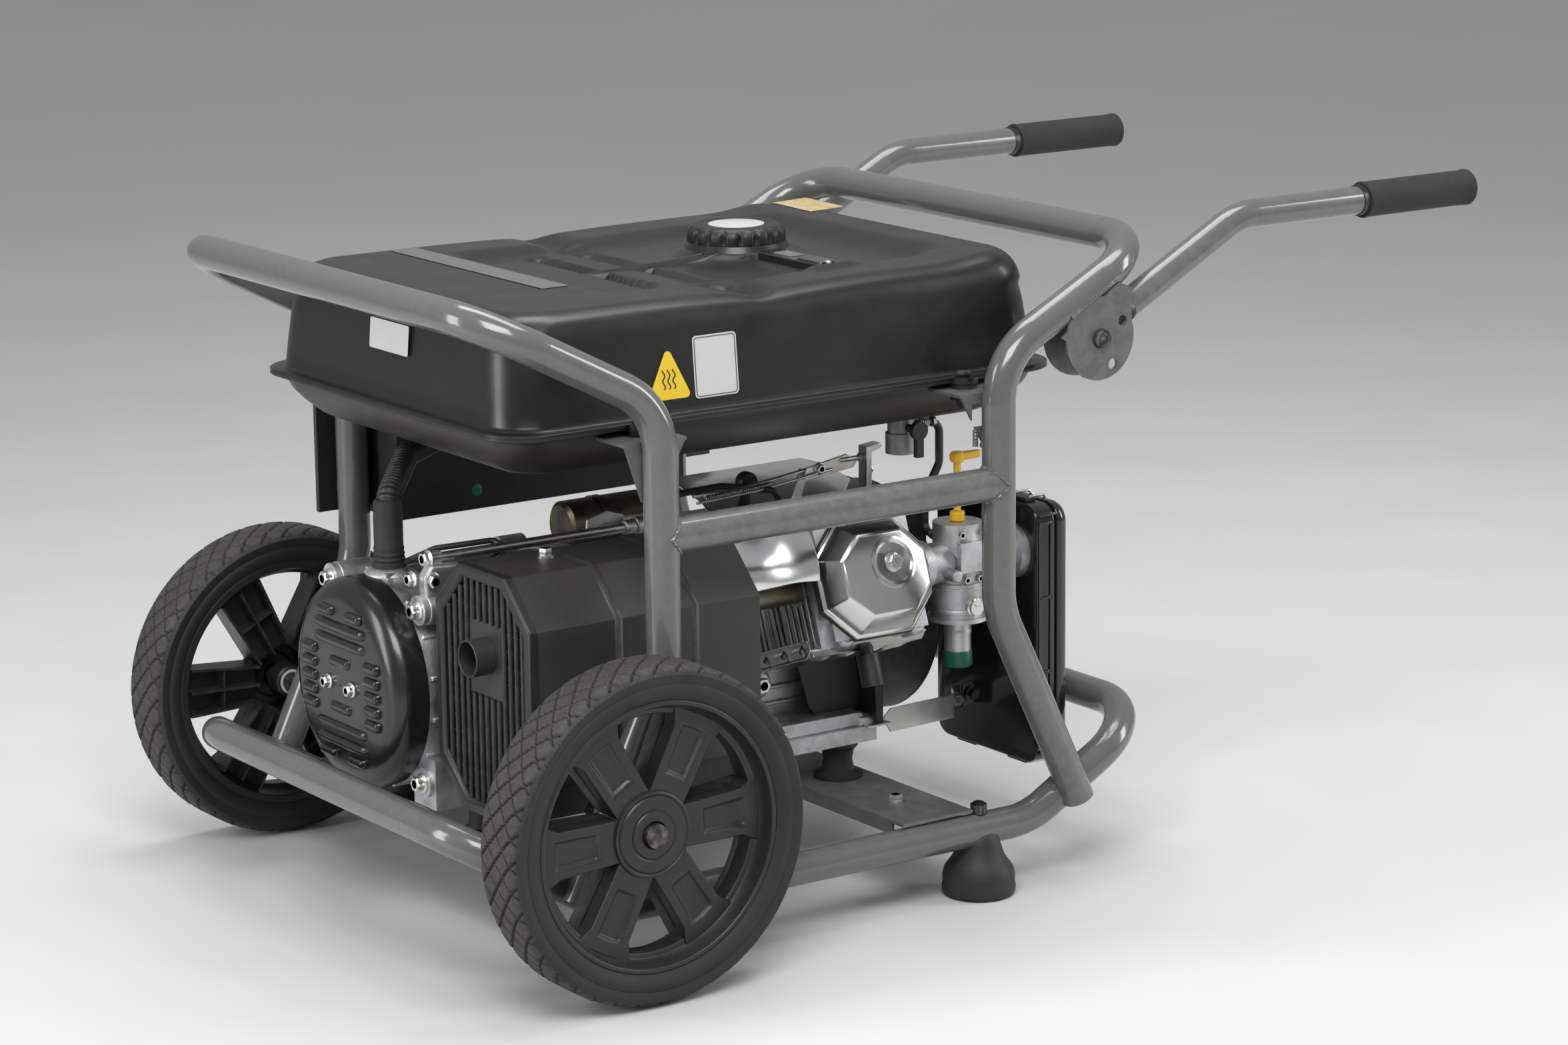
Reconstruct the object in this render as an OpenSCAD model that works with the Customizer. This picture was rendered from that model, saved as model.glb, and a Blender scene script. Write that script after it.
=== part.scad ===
// Open-frame portable generator on two wheels, with two folding handles.
// X runs along the crankshaft towards the handles, Y runs across from the muffler
// side (negative) to the control panel side (positive), and Z is up.
// The origin is on the ground, under the middle of the whole object.

/* [Frame] */
// Outside diameter of the frame tube
tube_d = 32; // [31:0.5:33]
// Wall of every tube
tube_wall = 2; // [1.5:0.25:2.5]
// Height of the top crossbars' centre line
hoop_z = 612; // [606:1:620]
// Height of the middle side rails' centre line
mid_rail_z = 402; // [398:1:406]

/* [Handles] */
// How far each grip reaches past the engine's middle
grip_reach = 776; // [740:2:800]
// Outside diameter of the handle tube
handle_d = 28; // [26:0.5:28]
// Slope of the handle's lower stretch
handle_angle = 28; // [27:0.5:29]
// Fold from carrying position to stowed
handle_fold = 88; // [80:1:88]

/* [Wheels] */
// Wheel diameter over the tread
wheel_d = 310; // [306:1:314]
// Width of the tyre
tyre_w = 64; // [60:1:66]
// Diameter of the wheel bolt's shoulder
axle_d = 12; // [11:0.5:13]

/* [Tank] */
// Length of the tank over its seam flange
tank_l = 622; // [612:2:624]
// Width of the tank over its seam flange
tank_w = 470; // [462:2:472]
// Height of the seam above the ground
seam_z = 495; // [493:1:497]
// Height of the tank's top
tank_top = 598; // [596:1:599]
// Sheet thickness of the tank
tank_wall = 1.5; // [1.2:0.1:2]

/* [Engine] */
// Height of the crankshaft above the ground
crank_z = 228; // [227:1:229]
// Slope of the cylinder above level
cylinder_tilt = 20; // [19:0.5:21]

/* [Hidden] */
fine = 48;
joint_lap = 1;
joint_step = 0.12;
tube_r = tube_d / 2;
bore_r = tube_r - tube_wall;
hollow_r = handle_d / 2 - tube_wall;
handle_r = handle_d / 2;
wheel_r = wheel_d / 2;

// frame lines, half of the frame, mirrored for the other end
upright_x = 188;
upright_y = 280;
rail_y = 264;
rail_z = 63.5;
rail_knee_x = 236;
end_x = 382;
end_z = 146;
hoop_x = 366;
shoulder_z = 520;
knee_z = 280;
leg_lean = 0.479;
foot_z = 80;
axle_z = wheel_r;
axle_x = upright_x + leg_lean * (knee_z - axle_z);
deck_z = 85;

// the object's middle, which the origin lies under
tail_x = axle_x + wheel_r;
shift_x = (tail_x - grip_reach) / 2;

// handles
pivot_x = 296;
pivot_z = 529;
handle_y = 278;
grip_z = 626;
grip_l = 140;
grip_r = 18;
pin_radius = 30;
plate_t = 3;
plate_gap = 15;
pivot_r = 5;
bend_x = pivot_x + (grip_z - pivot_z) / tan(handle_angle);

// wheels
wheel_y = 336;
rim_r = 124;
hub_r = 40;
hub_face_y = 350;
spoke_w = 38;

// tank
tank_x0 = -318;
tank_x1 = tank_x0 + tank_l;
filler_x = 100;
filler_y = 22;
gauge_x = 95;
gauge_y = -92;
neck_r = 30;
tank_bolt_x = upright_x - 8;
tank_bolt_y = tank_w / 2 + 1;
float_drop = 19;
float_l = 120;
cap_r = 48;
seam_t = 3;

// engine and alternator
crank_y = 24;
casing_r = 100;
engine_x0 = 40;
engine_x1 = 168;
cylinder_x = 104;
head_y0 = 150;
head_y1 = 229;
cover_y1 = 258;
exhaust_out = 188;
intake_out = 211;
port_z = 4;
carb_x = 220;
box_x = 288;
fan_x0 = engine_x1;
fan_x1 = 256;
recoil_x = 285;
bolt_circle_y = 82;
bolt_circle_z = 82;

// rubber isolators under the engine and the alternator
stud_r = 4;
mount_x = [132, -245];
mount_y = [[-95, 125], [-55, 101]];
mount_top = [121, 122];

// control panel, on the far side
face_t = 6;
panel_y = 300;
panel_z0 = 326;
panel_z1 = 462;
socket_x = [-130, -60, 10];
breaker_x = 120;
switch_x = 72;

// ---------- shared shapes ----------

function unit(v) = v / norm(v);

// moves the engine-centred frame to the object's own frame
module seat() {
  translate([shift_x, 0, 0]) children();
}

// round bar from a to b
module bar(a, b, r) {
  way = b - a;
  length = norm(way);
  tilt = acos(way[2] / length);
  turn = atan2(way[1], way[0]);
  translate(a) rotate([0, tilt, turn]) cylinder(r = r, h = length, $fn = fine);
}

// round elbow at corner q, between p and s; it is a hair slimmer than the bars it joins
// and reaches a little way into both
module elbow(p, q, s, bend_r, r) {
  u1 = unit(q - p);
  u2 = unit(s - q);
  angle = acos(u1 * u2);
  reach = atan(joint_lap / bend_r);
  start = q - u1 * bend_r * tan(angle / 2);
  n = unit(u2 - u1 * (u1 * u2));
  c = start + n * bend_r;
  w = cross(-n, u1);
  multmatrix([
    [-n[0], u1[0], w[0], c[0]],
    [-n[1], u1[1], w[1], c[1]],
    [-n[2], u1[2], w[2], c[2]],
    [0, 0, 0, 1]
  ])
    rotate([0, 0, -reach]) rotate_extrude(angle = angle + 2 * reach, $fn = fine)
      translate([bend_r, 0]) circle(r = r - joint_step, $fn = fine);
}

function set_back(p, q, s, bend_r) = bend_r * tan(acos(unit(q - p) * unit(s - q)) / 2);

// solid round line through the points, with each corner bent to its radius
module round_line(points, bends, r) {
  last = len(points) - 1;
  for (i = [0 : last - 1]) {
    way = unit(points[i + 1] - points[i]);
    back = i == 0 ? 0 : set_back(points[i - 1], points[i], points[i + 1], bends[i - 1]);
    ahead = i == last - 1 ? 0
      : set_back(points[i], points[i + 1], points[i + 2], bends[i]);
    bar(points[i] + way * back, points[i + 1] - way * ahead, r);
  }
  for (i = [1 : last - 1]) elbow(points[i - 1], points[i], points[i + 1], bends[i - 1], r);
}

// the same for a closed ring of points
module round_ring(points, bends, r) {
  n = len(points);
  for (i = [0 : n - 1]) {
    p = points[(i + n - 1) % n];
    q = points[i];
    s = points[(i + 1) % n];
    t = points[(i + 2) % n];
    way = unit(s - q);
    bar(q + way * set_back(p, q, s, bends[i]), s - way * set_back(q, s, t, bends[(i + 1) % n]), r);
    elbow(p, q, s, bends[i], r);
  }
}

module bar_x(x0, x1, y, z, r) {
  translate([x0, y, z]) rotate([0, 90, 0]) cylinder(r = r, h = x1 - x0, $fn = fine);
}

module bar_y(x, y0, y1, z, r) {
  translate([x, y0, z]) rotate([-90, 0, 0]) cylinder(r = r, h = y1 - y0, $fn = fine);
}

module block(x0, x1, y0, y1, z0, z1) {
  translate([x0, y0, z0]) cube([x1 - x0, y1 - y0, z1 - z0]);
}

// mirrored copies at both ends or on both sides
module both_sides() {
  children();
  mirror([0, 1, 0]) children();
}

module both_ends() {
  children();
  mirror([1, 0, 0]) children();
}

// hexagon bolt head or nut, standing up
module hexagon(across, h) {
  cylinder(d = across / cos(30), h = h, $fn = 6);
}

// ---------- frame ----------

function rail_path() = [
  [-rail_knee_x, -rail_y, rail_z], [rail_knee_x, -rail_y, rail_z], [end_x, -rail_y, end_z],
  [end_x, rail_y, end_z], [rail_knee_x, rail_y, rail_z], [-rail_knee_x, rail_y, rail_z],
  [-end_x, rail_y, end_z], [-end_x, -rail_y, end_z]
];

module base_line(r) {
  round_ring(rail_path(), [90, 90, 70, 70, 90, 90, 70, 70], r);
}

module straight_rails(r) {
  for (s = [-1, 1]) bar_x(-rail_knee_x, rail_knee_x, s * rail_y, rail_z, r);
}

module sloping_rails(r) {
  both_sides() bar(rail_path()[1], rail_path()[2], r);
}

module base_loop() {
  color("dimgray") seat() difference() {
    base_line(tube_r);
    base_line(bore_r);
    for (s = [-1, 1]) bar([176, s * rail_y, 30], [176, s * rail_y, 100], 5.2);
  }
}

function hoop_path() = [
  [upright_x + leg_lean * (knee_z - foot_z), -upright_y, foot_z],
  [upright_x, -upright_y, knee_z],
  [upright_x, -upright_y, shoulder_z],
  [hoop_x, -upright_y, hoop_z],
  [hoop_x, upright_y, hoop_z],
  [upright_x, upright_y, shoulder_z],
  [upright_x, upright_y, knee_z],
  [upright_x + leg_lean * (knee_z - foot_z), upright_y, foot_z]
];

module hoop_line(r) {
  round_line(hoop_path(), [90, 70, 62, 62, 70, 90], r);
}

module hoop() {
  difference() {
    hoop_line(tube_r);
    hoop_line(bore_r);
    sloping_rails(tube_r);
  }
}

module right_hoop() {
  color("dimgray") seat() hoop();
}

module left_hoop() {
  color("dimgray") seat() difference() {
    mirror([1, 0, 0]) hoop();
    for (s = [-1, 1])
      bar_y(-axle_x, s * upright_y - 30, s * upright_y + 30, axle_z, axle_d / 2 + 0.1);
  }
}

module mid_rail() {
  color("dimgray") seat() difference() {
    bar_x(-upright_x, upright_x, -upright_y, mid_rail_z, tube_r);
    bar_x(-upright_x - 1, upright_x + 1, -upright_y, mid_rail_z, bore_r);
    for (s = [-1, 1])
      bar([s * upright_x, -upright_y, 340], [s * upright_x, -upright_y, 460], tube_r);
  }
}

// pressed channel, open underneath, that rests across both lower rails
module deck_channel(i, x0, x1) {
  lip = 14;
  t = 3;
  difference() {
    union() {
      block(x0, x1, -rail_y - 4, rail_y + 4, deck_z - t, deck_z);
      block(x0, x0 + t, -rail_y + 14, rail_y - 14, deck_z - lip, deck_z);
      block(x1 - t, x1, -rail_y + 14, rail_y - 14, deck_z - lip, deck_z);
    }
    for (y = mount_y[i])
      translate([mount_x[i], y, deck_z - 5]) cylinder(r = stud_r + 0.3, h = 10, $fn = fine);
    base_line(tube_r);
  }
}

module cross_members() {
  color("dimgray") seat() {
    deck_channel(0, 84, 166);
    deck_channel(1, -285, -205);
  }
}

// folded gusset that carries one corner of the tank
module tank_bracket() {
  t = 3;
  inner_y = -upright_y + 15;
  difference() {
    union() {
      translate([upright_x, inner_y, 0]) rotate([90, 0, 0]) linear_extrude(t)
        polygon([[-36, seam_z - 8], [30, seam_z - 8], [12, seam_z - 62], [-6, seam_z - 62]]);
      block(upright_x - 36, upright_x + 30, inner_y - t, -tank_w / 2 + 16, seam_z - 11, seam_z - 8);
    }
    block(upright_x - 22, upright_x - 2, inner_y - 10, inner_y + 10, seam_z - 40, seam_z - 18);
    translate([tank_bolt_x, -tank_bolt_y, seam_z - 20]) cylinder(r = 8, h = 20, $fn = fine);
    hoop_line(tube_r);
  }
}

module tank_brackets() {
  color("gray") seat() both_ends() both_sides() tank_bracket();
}

// ---------- folding handles ----------

function swing(angle, r) = [pivot_x + r * cos(angle), pivot_z + r * sin(angle)];

module handle_plate(y0) {
  translate([0, y0 + plate_t, 0]) rotate([90, 0, 0]) linear_extrude(plate_t) difference() {
    union() {
      translate([pivot_x, pivot_z]) circle(r = 40, $fn = 96);
      polygon([[250, 534], [264, 526], [276, 494], [334, 528], [333, 574], [318, 580]]);
    }
    translate([pivot_x, pivot_z]) circle(r = pivot_r + 0.15, $fn = fine);
    for (a = [handle_angle, handle_angle - handle_fold])
      translate(swing(a, pin_radius)) circle(r = 5.2, $fn = fine);
  }
}

module handle_plates() {
  color("dimgray") seat() both_sides() difference() {
    for (y = [-handle_y - plate_gap - plate_t, -handle_y + plate_gap]) handle_plate(y);
    hoop_line(tube_r);
  }
}

function handle_path() = [
  [pivot_x - 13 * cos(handle_angle), -handle_y, pivot_z - 13 * sin(handle_angle)],
  [bend_x, -handle_y, grip_z],
  [grip_reach - 3, -handle_y, grip_z]
];

module handle() {
  difference() {
    round_line(handle_path(), [70], handle_r);
    round_line(handle_path(), [70], hollow_r);
    bar_y(pivot_x, -handle_y - 20, -handle_y + 20, pivot_z, pivot_r + 0.05);
    p = swing(handle_angle, pin_radius);
    bar_y(p[0], -handle_y - 20, -handle_y + 20, p[1], 4.55);
  }
}

module handle_near() {
  color("dimgray") seat() handle();
}

module handle_far() {
  color("dimgray") seat() mirror([0, 1, 0]) handle();
}

module grip() {
  difference() {
    bar_x(grip_reach - grip_l, grip_reach, -handle_y, grip_z, grip_r);
    bar_x(grip_reach - grip_l - 1, grip_reach - 3, -handle_y, grip_z, handle_r);
  }
}

module grip_near() {
  color("black") seat() grip();
}

module grip_far() {
  color("black") seat() mirror([0, 1, 0]) grip();
}

// button inside the tube, shown pressed in; let out, it enters the plate's hole
module lock_button() {
  p = swing(handle_angle, pin_radius);
  bar_y(p[0], -handle_y - plate_gap + 0.5, -handle_y - 5, p[1], 4.5);
  bar_y(p[0], -handle_y - 5, -handle_y - 3, p[1], 6);
}

module lock_button_near() {
  color("silver") seat() lock_button();
}

module lock_button_far() {
  color("silver") seat() mirror([0, 1, 0]) lock_button();
}

// ---------- feet ----------

module rubber_foot() {
  difference() {
    union() {
      translate([176, -rail_y, 0]) cylinder(r1 = 33, r2 = 35, h = 8, $fn = fine);
      translate([176, -rail_y, 8]) cylinder(r = 35, h = 14, $fn = fine);
      translate([176, -rail_y, 22]) cylinder(r1 = 35, r2 = 20, h = 40, $fn = fine);
    }
    translate([176, -rail_y, 18]) cylinder(r = 5.2, h = 60, $fn = fine);
    translate([176, -rail_y, 8]) cylinder(r = 10.5, h = 14, $fn = fine);
    straight_rails(tube_r);
  }
}

module rubber_feet() {
  color("black") seat() both_sides() rubber_foot();
}

module frame_bolts() {
  color("silver") seat() {
    both_sides() foot_bolt();
    both_sides() pivot_bolt();
    both_ends() both_sides() tank_bolt();
  }
}

// nut round a bolt, standing up
module nut(across, r, h) {
  difference() {
    hexagon(across, h);
    translate([0, 0, -1]) cylinder(r = r, h = h + 2, $fn = fine);
  }
}

module foot_bolt() {
  top = rail_z + tube_r;
  translate([176, -rail_y, 0]) {
    translate([0, 0, 18]) hexagon(15, 4);
    translate([0, 0, 22]) cylinder(r = 5, h = top + 11 - 22, $fn = fine);
    translate([0, 0, top]) difference() {
      cylinder(r = 8, h = 9, $fn = fine);
      translate([0, 0, -1]) cylinder(r = 5, h = 11, $fn = fine);
    }
  }
}

// button-head bolt through both handle plates, with its nut inside the frame
module pivot_bolt() {
  near = -handle_y - plate_gap - plate_t;
  far = -handle_y + plate_gap + plate_t;
  bar_y(pivot_x, near - 5, near, pivot_z, 9);
  bar_y(pivot_x, near, far + 9, pivot_z, pivot_r);
  translate([pivot_x, far, pivot_z]) rotate([-90, 0, 0]) nut(16, pivot_r, 7);
}

// bolt through both seam flanges, the rubber buffer and the bracket
module tank_bolt() {
  translate([tank_bolt_x, -tank_bolt_y, 0]) {
    translate([0, 0, seam_z + seam_t]) hexagon(12, 5);
    translate([0, 0, seam_z - 27]) cylinder(r = 4, h = 27 + seam_t, $fn = fine);
    translate([0, 0, seam_z - 25]) nut(12, 4, 6);
  }
}

// ---------- wheels ----------

// six-spoke moulded wheel on the near side, with its bearing bore
module wheel() {
  translate([-axle_x, -wheel_y, axle_z]) rotate([90, 0, 0]) difference() {
    union() {
      difference() {
        translate([0, 0, -26]) cylinder(r = rim_r, h = 52, $fn = 96);
        translate([0, 0, -27]) cylinder(r = rim_r - 8, h = 54, $fn = 96);
      }
      for (i = [0 : 5]) rotate([0, 0, 60 * i + 32])
        translate([hub_r - 15, -spoke_w / 2, -12]) cube([rim_r - hub_r + 11, spoke_w, 24]);
      translate([0, 0, -24]) cylinder(r = hub_r, h = 38, $fn = 96);
    }
    translate([0, 0, -40]) cylinder(r = axle_d / 2 + 0.05, h = 80, $fn = fine);
  }
}

module wheel_near() {
  color("black") seat() wheel();
}

module wheel_far() {
  color("black") seat() mirror([0, 1, 0]) wheel();
}

module tyre() {
  half = tyre_w / 2;
  translate([-axle_x, -wheel_y, axle_z]) rotate([90, 0, 0]) rotate_extrude($fn = 96)
    polygon([
      [rim_r, -26], [rim_r + 6, -half + 1], [wheel_r - 9, -half], [wheel_r - 2, -half + 6],
      [wheel_r, -half + 12], [wheel_r, half - 12], [wheel_r - 2, half - 6],
      [wheel_r - 9, half], [rim_r + 6, half - 1], [rim_r, 26]
    ]);
}

module tyre_near() {
  color("dimgray") seat() tyre();
}

module tyre_far() {
  color("dimgray") seat() mirror([0, 1, 0]) tyre();
}

// shoulder bolt through the hub and the leg, with a spacer and a nut
module wheel_bolts() {
  face = -upright_y - tube_r;
  back = -upright_y + tube_r;
  color("silver") seat() both_sides() {
    bar_y(-axle_x, -hub_face_y - 7, -hub_face_y - 0.5, axle_z, 11);
    bar_y(-axle_x, -hub_face_y - 0.5, back + 12, axle_z, axle_d / 2);
    translate([-axle_x, back, axle_z]) rotate([-90, 0, 0]) difference() {
      hexagon(19, 10);
      translate([0, 0, -1]) cylinder(r = axle_d / 2, h = 12, $fn = fine);
    }
    difference() {
      bar_y(-axle_x, -wheel_y + 24.5, face + 9, axle_z, 10);
      bar_y(-axle_x, -wheel_y + 20, face + 10, axle_z, axle_d / 2);
      hoop_left_leg(tube_r);
    }
  }
}

module hoop_left_leg(r) {
  mirror([1, 0, 0]) bar(hoop_path()[0], hoop_path()[1], r);
}

// ---------- fuel system ----------

// soft-edged block of the tank's outline, pulled in by inset
module tank_form(z0, z1, inset, round_top) {
  corner = 46;
  x0 = tank_x0 + inset + corner;
  x1 = tank_x1 - inset - corner;
  y1 = tank_w / 2 - inset - corner;
  low = round_top ? z0 : z1 - 1;
  high = round_top ? z1 : z0;
  side = round_top ? 1 : -1;
  pull = round_top ? 8 : 30;
  soft = round_top ? 36 : 18;
  hull() for (x = [x0, x1], y = [-y1, y1]) {
    translate([x, y, low]) cylinder(r = corner, h = 1, $fn = 32);
    translate([x - sign(x) * pull, y - sign(y) * pull, high - side * soft])
      sphere(r = soft, $fn = 32);
  }
}

module seam_flange(z) {
  corner = 46;
  x0 = tank_x0 + corner;
  x1 = tank_x1 - corner;
  y1 = tank_w / 2 - corner;
  difference() {
    union() {
      hull() for (x = [x0, x1], y = [-y1, y1])
        translate([x, y, z]) cylinder(r = corner, h = seam_t, $fn = 32);
      both_ends() both_sides() translate([tank_bolt_x, -tank_bolt_y, z])
        cylinder(r = 14, h = seam_t, $fn = fine);
    }
    both_ends() both_sides() translate([tank_bolt_x, -tank_bolt_y, z - 1])
      cylinder(r = 4.05, h = seam_t + 2, $fn = fine);
  }
}

module tank_upper() {
  color([0.08, 0.08, 0.09]) seat() difference() {
    union() {
      tank_form(seam_z, tank_top, 10, true);
      seam_flange(seam_z);
      translate([filler_x, filler_y, tank_top - 3]) cylinder(r = neck_r, h = 9, $fn = fine);
    }
    tank_form(seam_z - 0.5, tank_top - tank_wall, 10 + tank_wall, true);
    translate([filler_x, filler_y, tank_top - 10])
      cylinder(r = neck_r - 2, h = 30, $fn = fine);
    translate([gauge_x, gauge_y, tank_top - 10]) cylinder(r = 18, h = 20, $fn = fine);
  }
}

module tank_lower() {
  color([0.08, 0.08, 0.09]) seat() difference() {
    union() {
      tank_form(448, seam_z, 12, false);
      seam_flange(seam_z - seam_t);
    }
    tank_form(448 + tank_wall, seam_z + 0.5, 12 + tank_wall, false);
    translate([192, -120, 440]) cylinder(r = 7, h = 20, $fn = fine);
  }
}

// rubber buffers under the seam, each with its bolt and washer
module tank_mounts() {
  color("black") seat() both_ends() both_sides() translate([tank_bolt_x, -tank_bolt_y, 0]) {
    difference() {
      union() {
        translate([0, 0, seam_z - 19]) cylinder(r = 12, h = 8, $fn = fine);
        translate([0, 0, seam_z - 11]) cylinder(r = 7.9, h = 3, $fn = fine);
        translate([0, 0, seam_z - 8]) cylinder(r = 12, h = 5, $fn = fine);
      }
      translate([0, 0, seam_z - 30]) cylinder(r = 4.05, h = 40, $fn = fine);
    }
  }
}

module cap_gasket() {
  color("black") seat() translate([filler_x, filler_y, tank_top + 7.2]) difference() {
    cylinder(r = neck_r + 6, h = 2.2, $fn = fine);
    translate([0, 0, -1]) cylinder(r = 20, h = 5, $fn = fine);
  }
}

// fluted cap: its skirt stands round the neck
module fuel_cap() {
  color("black") seat() translate([filler_x, filler_y, tank_top + 0.4]) difference() {
    cylinder(r = cap_r, h = 21, $fn = 96);
    translate([0, 0, -1]) cylinder(r = cap_r - 6, h = 10.6, $fn = 96);
    for (i = [0 : 17]) rotate([0, 0, 20 * i])
      translate([cap_r + 2, 0, -1]) cylinder(r = 4, h = 17, $fn = 16);
  }
}

module fuel_strainer() {
  color("white") seat() translate([filler_x, filler_y, tank_top - 60]) difference() {
    union() {
      cylinder(r = neck_r - 5, h = 66, $fn = fine);
      translate([0, 0, 66]) cylinder(r = neck_r - 0.5, h = 1, $fn = fine);
    }
    translate([0, 0, 2]) cylinder(r = neck_r - 7, h = 70, $fn = fine);
  }
}

module fuel_gauge() {
  color("black") seat() difference() {
    union() {
      translate([gauge_x, gauge_y, tank_top]) cylinder(r = 26, h = 5, $fn = fine);
      block(gauge_x - 15, gauge_x + 15, gauge_y - 50, gauge_y + 50, tank_top, tank_top + 4);
      translate([gauge_x, gauge_y, tank_top - 24]) cylinder(r = 17.7, h = 24, $fn = fine);
    }
    translate([gauge_x, gauge_y, tank_top + 1]) cylinder(r = 20, h = 9, $fn = fine);
    translate([gauge_x - 30, gauge_y - 2.5, tank_top - 26]) cube([60, 5, 14]);
    bar_y(gauge_x, gauge_y - 9, gauge_y + 9, tank_top - float_drop, 1.55);
  }
}

// wire arm and float that turn the gauge
module float_arm() {
  z = tank_top - float_drop;
  color("white") seat() {
    bar_y(gauge_x, gauge_y - 8.8, gauge_y + 8.8, z, 1.5);
    bar([gauge_x, gauge_y, z], [gauge_x - float_l, gauge_y, z - 50], 1.8);
    translate([gauge_x - float_l, gauge_y, z - 62]) cylinder(r = 20, h = 24, $fn = fine);
  }
}

module fuel_tap() {
  color("gray") seat() difference() {
    union() {
      translate([192, -120, 436]) cylinder(r = 6.9, h = 26, $fn = fine);
      translate([192, -120, 424]) cylinder(r = 13, h = 14, $fn = fine);
      translate([192, -120, 404]) cylinder(r = 15, h = 20, $fn = fine);
      bar_x(192, 218, -120, 430, 4);
    }
    translate([192, -120, 408]) cylinder(r = 2, h = 60, $fn = fine);
    bar_x(192, 230, -120, 430, 2);
    bar_y(192, -140, -126, 430, 4.05);
  }
}

module tap_lever() {
  color("black") seat() {
    bar_y(192, -146, -127, 430, 4);
    bar_y(192, -152, -146, 430, 9);
    block(188, 196, -152, -146, 404, 430);
  }
}

module fuel_hose() {
  drop = carb_z + 18;
  hose = [[218, -120, 430], [238, -120, 430], [238, -120, 388], [carb_x, -120, 358],
    [carb_x, -120, drop], [carb_x, carb_y + 34, drop]];
  color("black") seat() round_line(hose, [12, 14, 14, 10], 4);
}

// ---------- engine ----------

// where a point of the cylinder's own frame lies across and above the ground
function head_point(out, up) = [
  crank_y - out * cos(cylinder_tilt) + up * sin(cylinder_tilt),
  crank_z + out * sin(cylinder_tilt) + up * cos(cylinder_tilt)
];
exhaust = head_point(exhaust_out, port_z);
carb_y = head_point(intake_out, port_z)[0];
carb_z = head_point(intake_out, port_z)[1];

// engine frame: Y runs out along the cylinder from the crankshaft
module along_cylinder() {
  translate([0, crank_y, crank_z]) rotate([-cylinder_tilt, 0, 0]) mirror([0, 1, 0]) children();
}

module crankcase() {
  color("silver") seat() difference() {
    union() {
      block(engine_x0, engine_x1, crank_y - 88, crank_y + 88, 136, 318);
      bar_x(30, engine_x0, crank_y, crank_z, 84);
      block(engine_x0 + 4, engine_x1 - 4, crank_y - 140, crank_y + 120, 121, 136);
      along_cylinder() {
        translate([cylinder_x - 46, 70, -50]) cube([92, head_y0 - 70, 100]);
        for (i = [0 : 5])
          translate([cylinder_x - 57, 92 + 10 * i, -60]) cube([114, 4, 120]);
      }
    }
    block(engine_x0 + 12, engine_x1 - 12, crank_y - 76, crank_y + 76, 148, 304);
    along_cylinder() translate([cylinder_x, 60, 0]) rotate([-90, 0, 0])
      cylinder(r = 44, h = 100, $fn = fine);
    bar_x(20, engine_x1 + 10, crank_y, crank_z, 18.05);
    for (y = mount_y[0])
      translate([mount_x[0], y, 100]) cylinder(r = stud_r + 0.3, h = 50, $fn = fine);
  }
}

module cylinder_head() {
  run = head_y1 - head_y0;
  color("silver") seat() along_cylinder() difference() {
    union() {
      translate([cylinder_x - 54, head_y0 + 0.1, -54]) cube([108, run - 0.1, 108]);
      for (i = [0 : 5])
        translate([cylinder_x - 60, head_y0 + 8 + 10 * i, -58]) cube([120, 4, 116]);
      translate([cylinder_x - 60, exhaust_out, port_z]) rotate([0, 90, 0])
        cylinder(r = 18, h = 40, $fn = fine);
      translate([cylinder_x + 20, intake_out, port_z]) rotate([0, 90, 0])
        cylinder(r = 17.5, h = engine_x1 - cylinder_x - 20, $fn = fine);
    }
    translate([cylinder_x, head_y0 - 4, 0]) rotate([-90, 0, 0])
      cylinder(r = 43, h = 18, $fn = fine);
    translate([cylinder_x, 196, -80]) cylinder(r = 7.05, h = 50, $fn = fine);
    translate([cylinder_x - 61, exhaust_out, port_z]) rotate([0, 90, 0])
      cylinder(r = 12.5, h = 40, $fn = fine);
    translate([cylinder_x + 25, intake_out, port_z]) rotate([0, 90, 0])
      cylinder(r = 12, h = 50, $fn = fine);
  }
}

function octagon(w, h, c) = [
  [-w + c, -h], [w - c, -h], [w, -h + c], [w, h - c],
  [w - c, h], [-w + c, h], [-w, h - c], [-w, -h + c]
];

module rocker_cover() {
  step = head_y1 + 12;
  color("silver") seat() along_cylinder() difference() {
    union() {
      octagon_slab(head_y1 + 0.1, step, 64, 56, 32);
      octagon_slab(step, cover_y1, 50, 42, 24);
    }
    octagon_slab(head_y1 - 1, step - 2, 62, 54, 31);
    octagon_slab(head_y1 + 2, cover_y1 - 2, 48, 40, 23);
  }
}

module octagon_slab(y0, y1, w, h, c) {
  translate([cylinder_x, y0, 0]) rotate([-90, 0, 0]) linear_extrude(y1 - y0)
    polygon(octagon(w, h, c));
}

module spark_plug() {
  color("black") seat() along_cylinder() {
    translate([cylinder_x, 196, -70]) cylinder(r = 7, h = 39, $fn = fine);
    translate([cylinder_x, 196, -100]) cylinder(r = 11, h = 30, $fn = fine);
  }
}

// plated sheet under the cylinder and bright heat sheet beside the head
module engine_shrouds() {
  x0 = cylinder_x - 70;
  color("silver") seat() {
    along_cylinder() translate([x0, 100, 61]) cube([132, 104, 2]);
    along_cylinder() difference() {
      translate([x0, 100, -63]) cube([132, 104, 2]);
      translate([cylinder_x, 196, -70]) cylinder(r = 14, h = 10, $fn = fine);
    }
    block(-48, x0 + 4, -208, -206, 318, 364);
    block(x0 + 2, x0 + 4, -208, -110, 330, 364);
  }
}

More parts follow.
